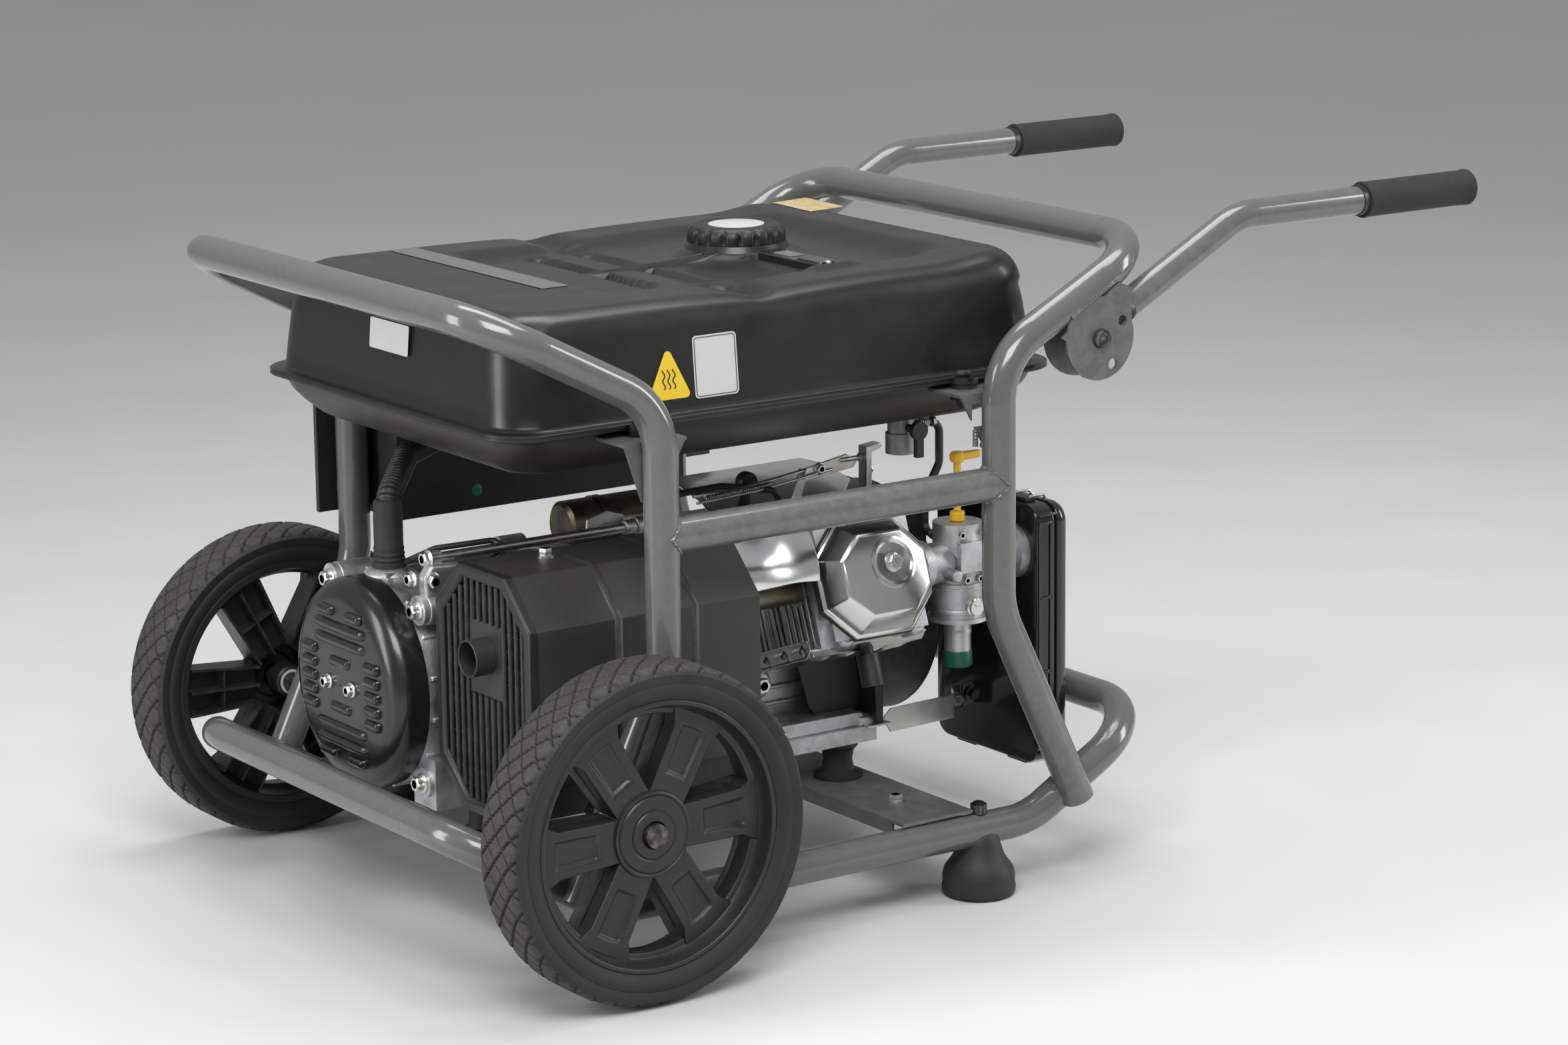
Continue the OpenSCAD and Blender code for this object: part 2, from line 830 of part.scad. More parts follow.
module fan_housing() {
  color("black") seat() difference() {
    union() {
      bar_x(fan_x0, fan_x1, crank_y, crank_z, 116);
      block(fan_x0, fan_x1, crank_y - 98, crank_y + 60, crank_z, crank_z + 114);
    }
    bar_x(fan_x0 + 3, fan_x1 + 1, crank_y, crank_z, 113);
    bar_x(fan_x0 - 1, fan_x0 + 4, crank_y, crank_z, 40);
    block(fan_x0 + 3, fan_x1 + 1, crank_y - 95, crank_y + 57, crank_z, crank_z + 111);
  }
}

module recoil_cover() {
  color("black") seat() difference() {
    union() {
      bar_x(fan_x1, fan_x1 + 3, crank_y, crank_z, 115);
      bar_x(fan_x1 + 3, recoil_x, crank_y, crank_z, 84);
    }
    bar_x(fan_x1 - 1, recoil_x - 3, crank_y, crank_z, 80);
    for (i = [0 : 15]) rotate_about(i * 22.5)
      block(recoil_x - 6, recoil_x + 5, crank_y + 34, crank_y + 66, crank_z - 4, crank_z + 4);
    bar_x(recoil_x - 10, recoil_x + 5, crank_y + 40, crank_z + 60, 4);
  }
}

module rotate_about(angle) {
  translate([0, crank_y, crank_z]) rotate([angle, 0, 0])
    translate([0, -crank_y, -crank_z]) children();
}

module pull_handle() {
  y = crank_y + 40;
  z = crank_z + 60;
  color("black") seat() {
    bar_x(fan_x1 + 6, recoil_x + 12, y, z, 3);
    bar_x(recoil_x + 0.4, recoil_x + 14, y, z, 7);
    bar_y(recoil_x + 14, y - 30, y + 30, z, 8);
  }
}

module crankshaft() {
  color("silver") seat() {
    bar_x(-308, 240, crank_y, crank_z, 17);
    bar_x(31, engine_x0 + 24, crank_y, crank_z, 18);
    bar_x(engine_x1 - 18, engine_x1, crank_y, crank_z, 18);
    bar_x(72, 88, crank_y, crank_z, 60);
    bar_x(120, 136, crank_y, crank_z, 60);
  }
}

module flywheel() {
  color("gray") seat() difference() {
    union() {
      bar_x(180, 196, crank_y, crank_z, 96);
      bar_x(196, 224, crank_y, crank_z, 36);
      for (i = [0 : 15]) rotate_about(i * 22.5)
        block(196, 224, crank_y + 34, crank_y + 96, crank_z - 2, crank_z + 2);
    }
    bar_x(170, 240, crank_y, crank_z, 17);
  }
}

// ---------- alternator ----------

module rotor() {
  color("brown") seat() difference() {
    union() {
      bar_x(-262, -130, crank_y, crank_z, 62);
      bar_x(-131, -112, crank_y, crank_z, 30);
      bar_x(-112, -98, crank_y, crank_z, 76);
    }
    bar_x(-270, -90, crank_y, crank_z, 17);
  }
}

module stator() {
  color("dimgray") seat() difference() {
    union() {
      bar_x(-268, -128, crank_y, crank_z, 98);
      bar_x(-282, -114, crank_y, crank_z, 84);
    }
    bar_x(-290, -100, crank_y, crank_z, 63);
  }
}

module bracket_ear(x0, x1, y, z) {
  bar_x(x0, x1, crank_y + y, crank_z + z, 14);
}

module end_bracket() {
  x0 = -312;
  x1 = -268;
  color("silver") seat() difference() {
    union() {
      bar_x(x0, x1, crank_y, crank_z, casing_r);
      for (a = [-1, 1], b = [-1, 1])
        bracket_ear(x0, x1, a * bolt_circle_y, b * bolt_circle_z);
      block(x0 + 4, x1 - 8, crank_y - 20, crank_y + 20, crank_z + 90, crank_z + 104);
      for (y = mount_y[1]) {
        block(x0 + 4, x1, y - 20, y + 20, 122, 170);
        block(x0 + 4, -225, y - 20, y + 20, 122, 132);
      }
    }
    bar_x(-306, x1 + 1, crank_y, crank_z, casing_r - 5);
    bar_x(x0 - 1, x1, crank_y, crank_z, 17.05);
    for (a = [-1, 1], b = [-1, 1])
      bar_x(x0 - 1, x1 + 1, crank_y + a * bolt_circle_y, crank_z + b * bolt_circle_z, 4.05);
    for (y = mount_y[1])
      translate([mount_x[1], y, 100]) cylinder(r = stud_r + 0.3, h = 50, $fn = fine);
  }
}

// domed guard over the slip rings, with rows of slots
module end_cover() {
  front = -350;
  color([0.1, 0.1, 0.1]) seat() difference() {
    union() {
      bar_x(-332, -312, crank_y, crank_z, casing_r);
      dome(-332, 18, casing_r, casing_r - 16);
    }
    bar_x(-331, -311, crank_y, crank_z, casing_r - 2);
    dome(-331, 17, casing_r - 2, casing_r - 17);
    for (z = [-54, -42, 42, 54])
      block(front - 1, front + 3, crank_y - 46, crank_y + 46, crank_z + z - 3, crank_z + z + 3);
    for (s = [-1, 1], z = [-24, -8, 8, 24])
      block(front - 1, front + 3, crank_y + s * 58 - 12, crank_y + s * 58 + 12,
        crank_z + z - 3, crank_z + z + 3);
    for (s = [-1, 1]) bar_x(front - 1, front + 3, crank_y + s * 22, crank_z, 3.05);
    for (a = [-1, 1], b = [-1, 1])
      bar_x(-321, -311, crank_y + a * bolt_circle_y, crank_z + b * bolt_circle_z, 12);
  }
}

module dome(x, h, r1, r2) {
  translate([x, crank_y, crank_z]) rotate([0, -90, 0])
    cylinder(r1 = r1, r2 = r2, h = h, $fn = fine);
}

module engine_adapter() {
  color("silver") seat() difference() {
    union() {
      bar_x(-128, -100, crank_y, crank_z, casing_r);
      translate([-100, crank_y, crank_z]) rotate([0, 90, 0])
        cylinder(r1 = casing_r, r2 = 86, h = 60, $fn = fine);
      bar_x(-40, 30, crank_y, crank_z, 86);
      for (a = [-1, 1], b = [-1, 1])
        bracket_ear(-128, -100, a * bolt_circle_y, b * bolt_circle_z);
    }
    bar_x(-129, -100, crank_y, crank_z, casing_r - 5);
    bar_x(-100.5, 22, crank_y, crank_z, 79);
    bar_x(20, 40, crank_y, crank_z, 24);
    for (a = [-1, 1], b = [-1, 1])
      bar_x(-129, -96, crank_y + a * bolt_circle_y, crank_z + b * bolt_circle_z, 4.05);
  }
}

// long tie bolts that clamp both alternator castings, and two cover bolts
module alternator_bolts() {
  color("silver") seat() {
    for (a = [-1, 1], b = [-1, 1]) {
      y = crank_y + a * bolt_circle_y;
      z = crank_z + b * bolt_circle_z;
      bar_x(-312, -98, y, z, 4);
      translate([-312, y, z]) rotate([0, -90, 0]) hexagon(13, 8);
    }
    for (s = [-1, 1]) {
      bar_x(-350, -340, crank_y + s * 22, crank_z, 3);
      translate([-350, crank_y + s * 22, crank_z]) rotate([0, -90, 0]) hexagon(10, 5);
    }
  }
}

// rubber isolators between the castings' feet and the cross members
module rubber_mounts() {
  color("black") seat() for (i = [0, 1], y = mount_y[i]) mount(mount_x[i], y, mount_top[i]);
}

module mount(x, y, top) {
  translate([x, y, deck_z]) {
    translate([0, 0, -12]) cylinder(r = stud_r, h = top - deck_z + 22, $fn = fine);
    cylinder(r = 24, h = 4, $fn = fine);
    translate([0, 0, 4]) cylinder(r = 15, h = top - deck_z - 8, $fn = fine);
    translate([0, 0, top - deck_z - 4]) cylinder(r = 20, h = 4, $fn = fine);
  }
}

// ---------- exhaust ----------

silencer_y = -165;
silencer_z = 252;

module silencer_form(x0, x1, w, h, c) {
  translate([x0, silencer_y, silencer_z]) rotate([90, 0, 90]) linear_extrude(x1 - x0)
    polygon(octagon(w, h, c));
}

// closed box with its outlet stub and the pipe from the head
module muffler() {
  outlet_z = silencer_z + 36;
  color([0.25, 0.22, 0.2]) seat() difference() {
    union() {
      silencer_form(-288, -76, 66, 96, 30);
      bar_x(-322, -286, silencer_y, outlet_z, 17);
      bar_x(-77, cylinder_x - 60.1, exhaust[0], exhaust[1], 14);
    }
    silencer_form(-286.5, -77.5, 64.5, 94.5, 30);
    bar_x(-323, -284, silencer_y, outlet_z, 15.5);
    bar_x(-80, cylinder_x - 59, exhaust[0], exhaust[1], 12.5);
  }
}

module muffler_shield() {
  color([0.12, 0.12, 0.12]) seat() difference() {
    silencer_form(-300, -60, 82, 115, 42);
    silencer_form(-301, -62, 80, 113, 41.5);
    bar_x(-70, -50, exhaust[0], exhaust[1], 15);
  }
}

// bars in front of the muffler, with an opening for the outlet
module muffler_grille() {
  color("black") seat() difference() {
    union() {
      difference() {
        silencer_form(-308, -300, 82, 115, 42);
        silencer_form(-309, -299, 72, 105, 38);
      }
      intersection() {
        silencer_form(-306, -301, 73, 106, 38);
        union() {
          for (i = [-6 : 6]) block(-306, -301, silencer_y + 11.5 * i - 2, silencer_y + 11.5 * i + 2,
            silencer_z - 110, silencer_z + 110);
          for (z = [-60, -20, 20, 60])
            block(-304, -301, silencer_y - 75, silencer_y + 75, silencer_z + z - 2,
              silencer_z + z + 2);
        }
      }
    }
    bar_x(-310, -299, silencer_y, silencer_z + 36, 19);
  }
}

// ---------- intake ----------

module box_form(x0, x1, inset) {
  y0 = -210 + inset;
  y1 = -48 - inset;
  z0 = 94 + inset;
  z1 = 352 - inset;
  r = 14;
  translate([x0, 0, 0]) rotate([90, 0, 90]) linear_extrude(x1 - x0) hull()
    for (y = [y0 + r, y1 - r], z = [z0 + r, z1 - r]) translate([y, z]) circle(r = r, $fn = 32);
}

module air_box() {
  color("black") seat() difference() {
    box_form(box_x, 312, 0);
    box_form(box_x + 2.5, 313, 2.5);
    bar_x(box_x - 1, box_x + 4, carb_y, carb_z, 17);
  }
}

module air_box_cover() {
  color("black") seat() difference() {
    box_form(312.2, 330, -1);
    box_form(312, 327.5, 1.5);
  }
}

module carburettor() {
  color("silver") seat() difference() {
    union() {
      bar_x(engine_x1, box_x, carb_y, carb_z, 20);
      bar_x(engine_x1, engine_x1 + 10, carb_y, carb_z, 24);
      bar_x(box_x - 10, box_x, carb_y, carb_z, 27);
      bar_y(carb_x, carb_y, carb_y + 34, carb_z + 18, 3);
      translate([carb_x, carb_y, 250]) cylinder(r = 26, h = 34, $fn = fine);
      translate([carb_x, carb_y, 246]) cylinder(r = 30, h = 4, $fn = fine);
      translate([carb_x, carb_y, 284]) cylinder(r = 24, h = 58, $fn = fine);
      translate([carb_x, carb_y, 204]) cylinder(r = 13, h = 43, $fn = fine);
    }
    bar_x(engine_x1 - 5, box_x + 1, carb_y, carb_z, 12);
    translate([carb_x, carb_y, 330]) cylinder(r = 4.05, h = 20, $fn = fine);
  }
}

module choke_lever() {
  color("gold") seat() translate([carb_x, carb_y, 0]) {
    translate([0, 0, 332]) cylinder(r = 4, h = 70, $fn = fine);
    translate([0, 0, 343]) cylinder(r = 7, h = 8, $fn = fine);
    translate([-6, -6, 402]) cube([34, 12, 6]);
    translate([0, -4, 362]) cube([26, 8, 8]);
  }
}

// ---------- electrics ----------

module control_panel() {
  color([0.12, 0.12, 0.13]) seat() difference() {
    union() {
      block(-216, 250, panel_y, panel_y + face_t, panel_z0, panel_z1);
      block(-168, 168, 226, panel_y, panel_z0 - 2, 440);
      for (s = [-1, 1], z = [350, 438])
        bar_y(s * upright_x, upright_y + 8, panel_y + 1, z, 9);
    }
    block(-165, 165, 229, panel_y - 1, panel_z0 + 2, 437);
    for (x = socket_x) bar_y(x, panel_y - 5, panel_y + 10, 384, 21);
    block(switch_x - 14, switch_x + 14, panel_y - 5, panel_y + 10, 371, 397);
    bar_x(switch_x - 18, switch_x + 18, panel_y + 2, 384, 1.55);
    bar_y(breaker_x, panel_y - 5, panel_y + 10, 384, 6.3);
    for (s = [-1, 1])
      bar([s * upright_x, upright_y, 320], [s * upright_x, upright_y, 470], tube_r);
  }
}

// round outlet inserts, each with its raised ring and three contact holes
module sockets() {
  color("black") seat() for (x = socket_x) difference() {
    union() {
      bar_y(x, panel_y - 14, panel_y + face_t, 384, 20.95);
      bar_y(x, panel_y + face_t, panel_y + face_t + 4, 384, 27);
    }
    bar_y(x, panel_y, panel_y + face_t + 5, 384, 18);
    for (i = [0 : 2])
      bar_y(x + 10 * sin(120 * i), panel_y - 10, panel_y + 1, 384 + 10 * cos(120 * i), 2.4);
  }
}

module breaker_button() {
  color("black") seat() {
    bar_y(breaker_x, panel_y - 2, panel_y + face_t + 6, 384, 6);
    bar_y(breaker_x, panel_y - 5, panel_y - 1.5, 384, 8);
  }
}

module engine_switch() {
  color("red") seat() {
    translate([switch_x, panel_y + 2, 384]) rotate([90, 0, 90])
      linear_extrude(24, center = true) polygon([
        [-8, -9], [4, -11], [8, -11], [6, 0], [8, 11], [4, 11], [-8, 9]
      ]);
    bar_x(switch_x - 17, switch_x + 17, panel_y + 2, 384, 1.5);
  }
}

module cable_conduit() {
  foot = crank_z + 104;
  run = [[-294, crank_y, foot + 3], [-294, crank_y, 398], [-240, 80, 424], [-150, 150, 424],
    [-150, 226, 424]];
  color("black") seat() {
    round_line(run, [30, 40, 40], 12);
    translate([-294, crank_y, foot]) cylinder(r = 16, h = 4, $fn = fine);
  }
}

base_loop();
left_hoop();
right_hoop();
mid_rail();
cross_members();
tank_brackets();
handle_plates();
handle_near();
handle_far();
grip_near();
grip_far();
lock_button_near();
lock_button_far();
rubber_feet();
frame_bolts();
wheel_near();
wheel_far();
tyre_near();
tyre_far();
wheel_bolts();
tank_upper();
tank_lower();
tank_mounts();
cap_gasket();
fuel_cap();
fuel_strainer();
fuel_gauge();
float_arm();
fuel_tap();
tap_lever();
fuel_hose();
crankcase();
cylinder_head();
rocker_cover();
spark_plug();
engine_shrouds();
fan_housing();
recoil_cover();
pull_handle();
crankshaft();
flywheel();
rotor();
stator();
end_bracket();
end_cover();
engine_adapter();
alternator_bolts();
rubber_mounts();
muffler();
muffler_shield();
muffler_grille();
air_box();
air_box_cover();
carburettor();
choke_lever();
control_panel();
sockets();
breaker_button();
engine_switch();
cable_conduit();
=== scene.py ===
import math

import bmesh
import bpy
from mathutils import Matrix, Vector


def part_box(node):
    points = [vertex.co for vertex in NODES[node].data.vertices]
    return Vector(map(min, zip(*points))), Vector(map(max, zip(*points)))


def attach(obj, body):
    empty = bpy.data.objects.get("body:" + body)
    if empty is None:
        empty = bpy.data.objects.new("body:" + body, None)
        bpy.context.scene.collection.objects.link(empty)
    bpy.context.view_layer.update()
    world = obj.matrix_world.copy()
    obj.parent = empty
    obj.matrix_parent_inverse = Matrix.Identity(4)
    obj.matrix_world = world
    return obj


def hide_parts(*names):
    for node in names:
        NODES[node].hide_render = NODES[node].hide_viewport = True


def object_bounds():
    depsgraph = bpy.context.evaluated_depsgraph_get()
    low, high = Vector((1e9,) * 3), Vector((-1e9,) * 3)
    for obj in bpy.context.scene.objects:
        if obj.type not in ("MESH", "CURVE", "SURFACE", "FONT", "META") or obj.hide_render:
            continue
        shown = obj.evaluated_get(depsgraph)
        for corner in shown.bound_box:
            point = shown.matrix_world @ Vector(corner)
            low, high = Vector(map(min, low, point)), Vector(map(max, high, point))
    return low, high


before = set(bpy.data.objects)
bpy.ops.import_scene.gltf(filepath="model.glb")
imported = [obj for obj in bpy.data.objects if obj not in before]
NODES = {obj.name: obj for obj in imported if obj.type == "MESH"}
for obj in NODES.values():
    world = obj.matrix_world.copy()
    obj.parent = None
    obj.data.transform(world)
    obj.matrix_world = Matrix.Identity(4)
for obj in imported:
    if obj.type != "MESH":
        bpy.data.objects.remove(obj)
CAD_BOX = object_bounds()

# Lengths below are millimetres in a frame centred between the two hoops; W turns them into metres.
MID_X = (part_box("left_hoop")[0].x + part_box("right_hoop")[1].x) / 2


def W(x, y, z):
    return Vector((x * 0.001 + MID_X, y * 0.001, z * 0.001))


# ---------- materials ----------


def link(tree, a, b):
    tree.links.new(a, b)


def shade_node(tree, kind, **values):
    n = tree.nodes.new(kind)
    for k, v in values.items():
        setattr(n, k, v)
    return n


def maths(tree, op, a, b=None, clamp=False):
    n = shade_node(tree, "ShaderNodeMath", operation=op, use_clamp=clamp)
    for i, s in enumerate((a, b)):
        if s is None:
            continue
        if isinstance(s, (int, float)):
            n.inputs[i].default_value = s
        else:
            link(tree, s, n.inputs[i])
    return n.outputs[0]


def remap(tree, value, a, b, c, d):
    n = shade_node(tree, "ShaderNodeMapRange")
    link(tree, value, n.inputs["Value"])
    for k, v in zip(("From Min", "From Max", "To Min", "To Max"), (a, b, c, d)):
        n.inputs[k].default_value = v
    return n.outputs[0]


def noise(tree, coords, scale, detail=3.0, rough=0.55):
    n = shade_node(tree, "ShaderNodeTexNoise")
    n.inputs["Scale"].default_value = scale
    n.inputs["Detail"].default_value = detail
    n.inputs["Roughness"].default_value = rough
    link(tree, coords, n.inputs["Vector"])
    return n.outputs["Fac"]


def mix(tree, factor, a, b):
    n = shade_node(tree, "ShaderNodeMix", data_type="RGBA")
    for socket, v in ((n.inputs[0], factor), (n.inputs[6], a), (n.inputs[7], b)):
        if isinstance(v, (tuple, list)):
            socket.default_value = (*v, 1)
        elif isinstance(v, (int, float)):
            socket.default_value = v
        else:
            link(tree, v, socket)
    return n.outputs[2]


def bump_from(tree, coords, relief, detail, below=None):
    """Bump of noise from (scale, strength, depth), over the bump below it."""
    scale, strength, depth = relief
    n = shade_node(tree, "ShaderNodeBump")
    n.inputs["Strength"].default_value = strength
    n.inputs["Distance"].default_value = depth
    link(tree, noise(tree, coords, scale, detail), n.inputs["Height"])
    if below:
        link(tree, below, n.inputs["Normal"])
    return n.outputs[0]


DUST = (0.3, 0.26, 0.2)


def material(
    name,
    base,
    metal=0.0,
    rough=0.4,
    spread=0.08,
    tone=0.12,
    tone_scale=7.0,
    grain=(900.0, 0.15, 0.0003),
    lumps=None,
    dust=0.0,
    wear=None,
    coat=0.0,
    stretch=None,
    second=None,
):
    """Procedural surface: tone and roughness drift, fine grain, dust on top faces, worn edges."""
    m = bpy.data.materials.new(name)
    m.use_nodes = True
    t = m.node_tree
    shader = t.nodes["Principled BSDF"]
    shader.inputs["Metallic"].default_value = metal
    shader.inputs["Coat Weight"].default_value = coat
    shader.inputs["Coat Roughness"].default_value = 0.08
    shader.inputs["Specular IOR Level"].default_value = 0.5
    coords = shade_node(t, "ShaderNodeTexCoord").outputs["Object"]
    if stretch:
        mapping = shade_node(t, "ShaderNodeMapping")
        mapping.inputs["Scale"].default_value = stretch
        link(t, coords, mapping.inputs["Vector"])
        coords = mapping.outputs[0]
    drift = noise(t, coords, tone_scale, 4.0)
    dark = tuple(c * (1 - tone) for c in base)
    light = tuple(min(1, c * (1 + tone)) for c in base)
    colour = mix(t, drift, dark, light)
    if second:
        blotch = remap(t, noise(t, coords, tone_scale * 2.3, 5.0), 0.45, 0.7, 0, 1)
        colour = mix(t, blotch, colour, second)
    roughness = remap(t, noise(t, coords, tone_scale * 3, 5.0), 0.3, 0.7, rough - spread, rough + spread)
    geometry = shade_node(t, "ShaderNodeNewGeometry")
    if wear:
        wear_colour, amount = wear
        edge = remap(t, geometry.outputs["Pointiness"], 0.53, 0.62, 0, 1)
        edge = maths(t, "MULTIPLY", edge, remap(t, noise(t, coords, 90, 4), 0.4, 0.6, 0, amount), True)
        colour = mix(t, edge, colour, wear_colour)
    if dust:
        split = shade_node(t, "ShaderNodeSeparateXYZ")
        link(t, geometry.outputs["Normal"], split.inputs[0])
        up = remap(t, split.outputs["Z"], 0.1, 1.0, 0.15, 1)
        specks = remap(t, noise(t, coords, 130, 6, 0.7), 0.42, 0.75, 0.1, 1)
        film = maths(t, "MULTIPLY", maths(t, "MULTIPLY", up, specks), dust, True)
        colour = mix(t, film, colour, DUST)
        roughness = maths(t, "ADD", roughness, maths(t, "MULTIPLY", film, 0.6), True)
    link(t, colour, shader.inputs["Base Color"])
    link(t, roughness, shader.inputs["Roughness"])
    normal = bump_from(t, coords, grain, 2.0)
    if lumps:
        normal = bump_from(t, coords, lumps, 3.0, normal)
    link(t, normal, shader.inputs["Normal"])
    return m


PRINT_GRAIN = (900, 0.08, 0.0002)

M = {
    "tube": material("frame_enamel", (0.112, 0.11, 0.107), rough=0.19, spread=0.02, tone=0.04,
                     grain=(420, 0.03, 0.0003), coat=0.5,
                     wear=((0.2, 0.2, 0.2), 0.25)),
    "bracket": material("bracket_enamel", (0.1, 0.099, 0.098), rough=0.32, spread=0.04, tone=0.06,
                        grain=(500, 0.08, 0.0003), wear=((0.2, 0.2, 0.2), 0.3)),
    "weld": material("weld_bead", (0.13, 0.129, 0.127), rough=0.25, tone=0.2, tone_scale=60,
                     grain=(500, 0.5, 0.0006), coat=0.3),
    "tank": material("tank_enamel", (0.0075, 0.0075, 0.0078), rough=0.33, spread=0.05, tone=0.15,
                     grain=(1500, 0.32, 0.00025), dust=0.03, coat=0.1,
                     wear=((0.03, 0.03, 0.03), 0.3)),
    "tank_under": material("tank_under_enamel", (0.018, 0.0162, 0.0145), rough=0.42, spread=0.05,
                           tone=0.2, grain=(1500, 0.35, 0.00025), dust=0.05),
    "zinc": material("bright_zinc", (0.72, 0.71, 0.68), metal=1, rough=0.34, spread=0.06, tone=0.1,
                     tone_scale=40, grain=(700, 0.06, 0.0002)),
    "rocker": material("rocker_zinc", (0.66, 0.665, 0.63), metal=1, rough=0.24, spread=0.05, tone=0.07,
                       tone_scale=8, grain=(900, 0.04, 0.0002), lumps=(16, 0.06, 0.002)),
    "mirror": material("mirror_sheet", (0.76, 0.775, 0.77), metal=1, rough=0.21, spread=0.05,
                       tone=0.06, tone_scale=12, grain=(600, 0.03, 0.0002),
                       lumps=(14, 0.12, 0.003)),
    "steel": material("machined_steel", (0.5, 0.5, 0.49), metal=1, rough=0.3, tone=0.15,
                      tone_scale=30, grain=(1200, 0.15, 0.0002)),
    "black_bolt": material("black_bolt", (0.03, 0.028, 0.026), metal=0.6, rough=0.38, tone=0.2,
                           grain=(900, 0.2, 0.0002), wear=((0.3, 0.28, 0.25), 0.5)),
    "cast": material("cast_aluminium", (0.56, 0.57, 0.58), metal=1, rough=0.5, spread=0.1, tone=0.14,
                     tone_scale=20, grain=(700, 0.5, 0.0005), lumps=(120, 0.2, 0.0008),
                     wear=((0.8, 0.8, 0.8), 0.5), second=(0.4, 0.4, 0.4)),
    "cast_dark": material("cast_dark", (0.3, 0.3, 0.3), metal=1, rough=0.55, spread=0.1, tone=0.2,
                          tone_scale=20, grain=(700, 0.5, 0.0005)),
    "sheet": material("black_sheet", (0.014, 0.014, 0.0143), rough=0.44, spread=0.06, tone=0.2,
                      grain=(1400, 0.4, 0.0003), dust=0.06, wear=((0.05, 0.05, 0.05), 0.3)),
    "shield": material("heat_shield", (0.0245, 0.0238, 0.023), rough=0.46, spread=0.05, tone=0.14,
                       tone_scale=9, grain=(1300, 0.4, 0.0003), dust=0.05,
                       wear=((0.07, 0.068, 0.065), 0.35)),
    "cover": material("cover_enamel", (0.009, 0.009, 0.0093), rough=0.27, spread=0.05, tone=0.15,
                      grain=(1500, 0.22, 0.0002), dust=0.02, coat=0.25),
    "hot": material("heated_steel", (0.23, 0.19, 0.14), metal=0.9, rough=0.38, spread=0.12, tone=0.3,
                    tone_scale=14, grain=(800, 0.3, 0.0003), second=(0.12, 0.1, 0.09)),
    "gloss": material("gloss_plastic", (0.009, 0.009, 0.0095), rough=0.14, spread=0.05, tone=0.15,
                      grain=(500, 0.05, 0.0003), dust=0.06, coat=0.3,
                      wear=((0.06, 0.06, 0.06), 0.3)),
    "plastic": material("black_plastic", (0.013, 0.013, 0.0133), rough=0.42, spread=0.07, tone=0.18,
                        grain=(1300, 0.45, 0.0003), dust=0.03, wear=((0.05, 0.05, 0.05), 0.3)),
    "wheel": material("wheel_plastic", (0.014, 0.014, 0.0145), rough=0.4, spread=0.07, tone=0.18,
                      grain=(900, 0.6, 0.0004), dust=0.05, wear=((0.06, 0.06, 0.06), 0.4)),
    "rubber": material("rubber", (0.016, 0.0157, 0.0155), rough=0.6, spread=0.1, tone=0.2,
                       grain=(1100, 0.4, 0.0003), dust=0.05),
    "hose": material("hose_rubber", (0.018, 0.018, 0.018), rough=0.42, spread=0.08, tone=0.2,
                     grain=(900, 0.3, 0.0003), dust=0.06),
    "foam": material("grip_foam", (0.014, 0.014, 0.0145), rough=0.72, spread=0.08, tone=0.2,
                     grain=(1600, 0.8, 0.0006), dust=0.05),
    "panel": material("panel_plastic", (0.018, 0.018, 0.019), rough=0.4, spread=0.08, tone=0.15,
                      grain=(1500, 0.5, 0.0003), dust=0.08),
    "yellow": material("choke_yellow", (0.72, 0.42, 0.015), rough=0.35, tone=0.1, tone_scale=40,
                       grain=(900, 0.2, 0.0002)),
    "red": material("switch_red", (0.45, 0.02, 0.012), rough=0.28, tone=0.1, tone_scale=40,
                    grain=(900, 0.1, 0.0002)),
    "white": material("nylon_white", (0.7, 0.7, 0.66), rough=0.5, tone=0.06, tone_scale=40,
                      grain=(1200, 0.3, 0.0003)),
    "grey_label": material("label_grey", (0.13, 0.13, 0.128), rough=0.35, tone=0.1, tone_scale=20,
                           grain=(900, 0.1, 0.0002), dust=0.08),
    "pale_label": material("label_pale", (0.52, 0.52, 0.505), rough=0.34, tone=0.04, tone_scale=30,
                           grain=PRINT_GRAIN, dust=0.05),
    "yellow_label": material("label_yellow", (0.72, 0.5, 0.03), rough=0.34, tone=0.05,
                             tone_scale=30, grain=PRINT_GRAIN),
    "black_label": material("label_black", (0.015, 0.015, 0.015), rough=0.3, tone=0.1,
                            tone_scale=30, grain=PRINT_GRAIN),
    "green_label": material("label_green", (0.008, 0.2, 0.13), rough=0.4, tone=0.1, tone_scale=50,
                            grain=(900, 0.1, 0.0002)),
    "instruction_label": material("instruction_label", (0.5, 0.36, 0.14), rough=0.34, tone=0.08,
                                  tone_scale=60, grain=PRINT_GRAIN, second=(0.55, 0.5, 0.36)),
    "cap_green": material("cap_green", (0.006, 0.085, 0.045), rough=0.4, tone=0.1, tone_scale=50,
                          grain=(900, 0.1, 0.0002)),
    "copper": material("winding_copper", (0.5, 0.2, 0.08), metal=0.8, rough=0.35, tone=0.2,
                       tone_scale=60, grain=(600, 0.6, 0.0005)),
    "iron": material("laminated_iron", (0.16, 0.15, 0.14), metal=0.7, rough=0.5, tone=0.2,
                     tone_scale=30, grain=(300, 0.6, 0.0006), stretch=(8, 1, 1)),
}


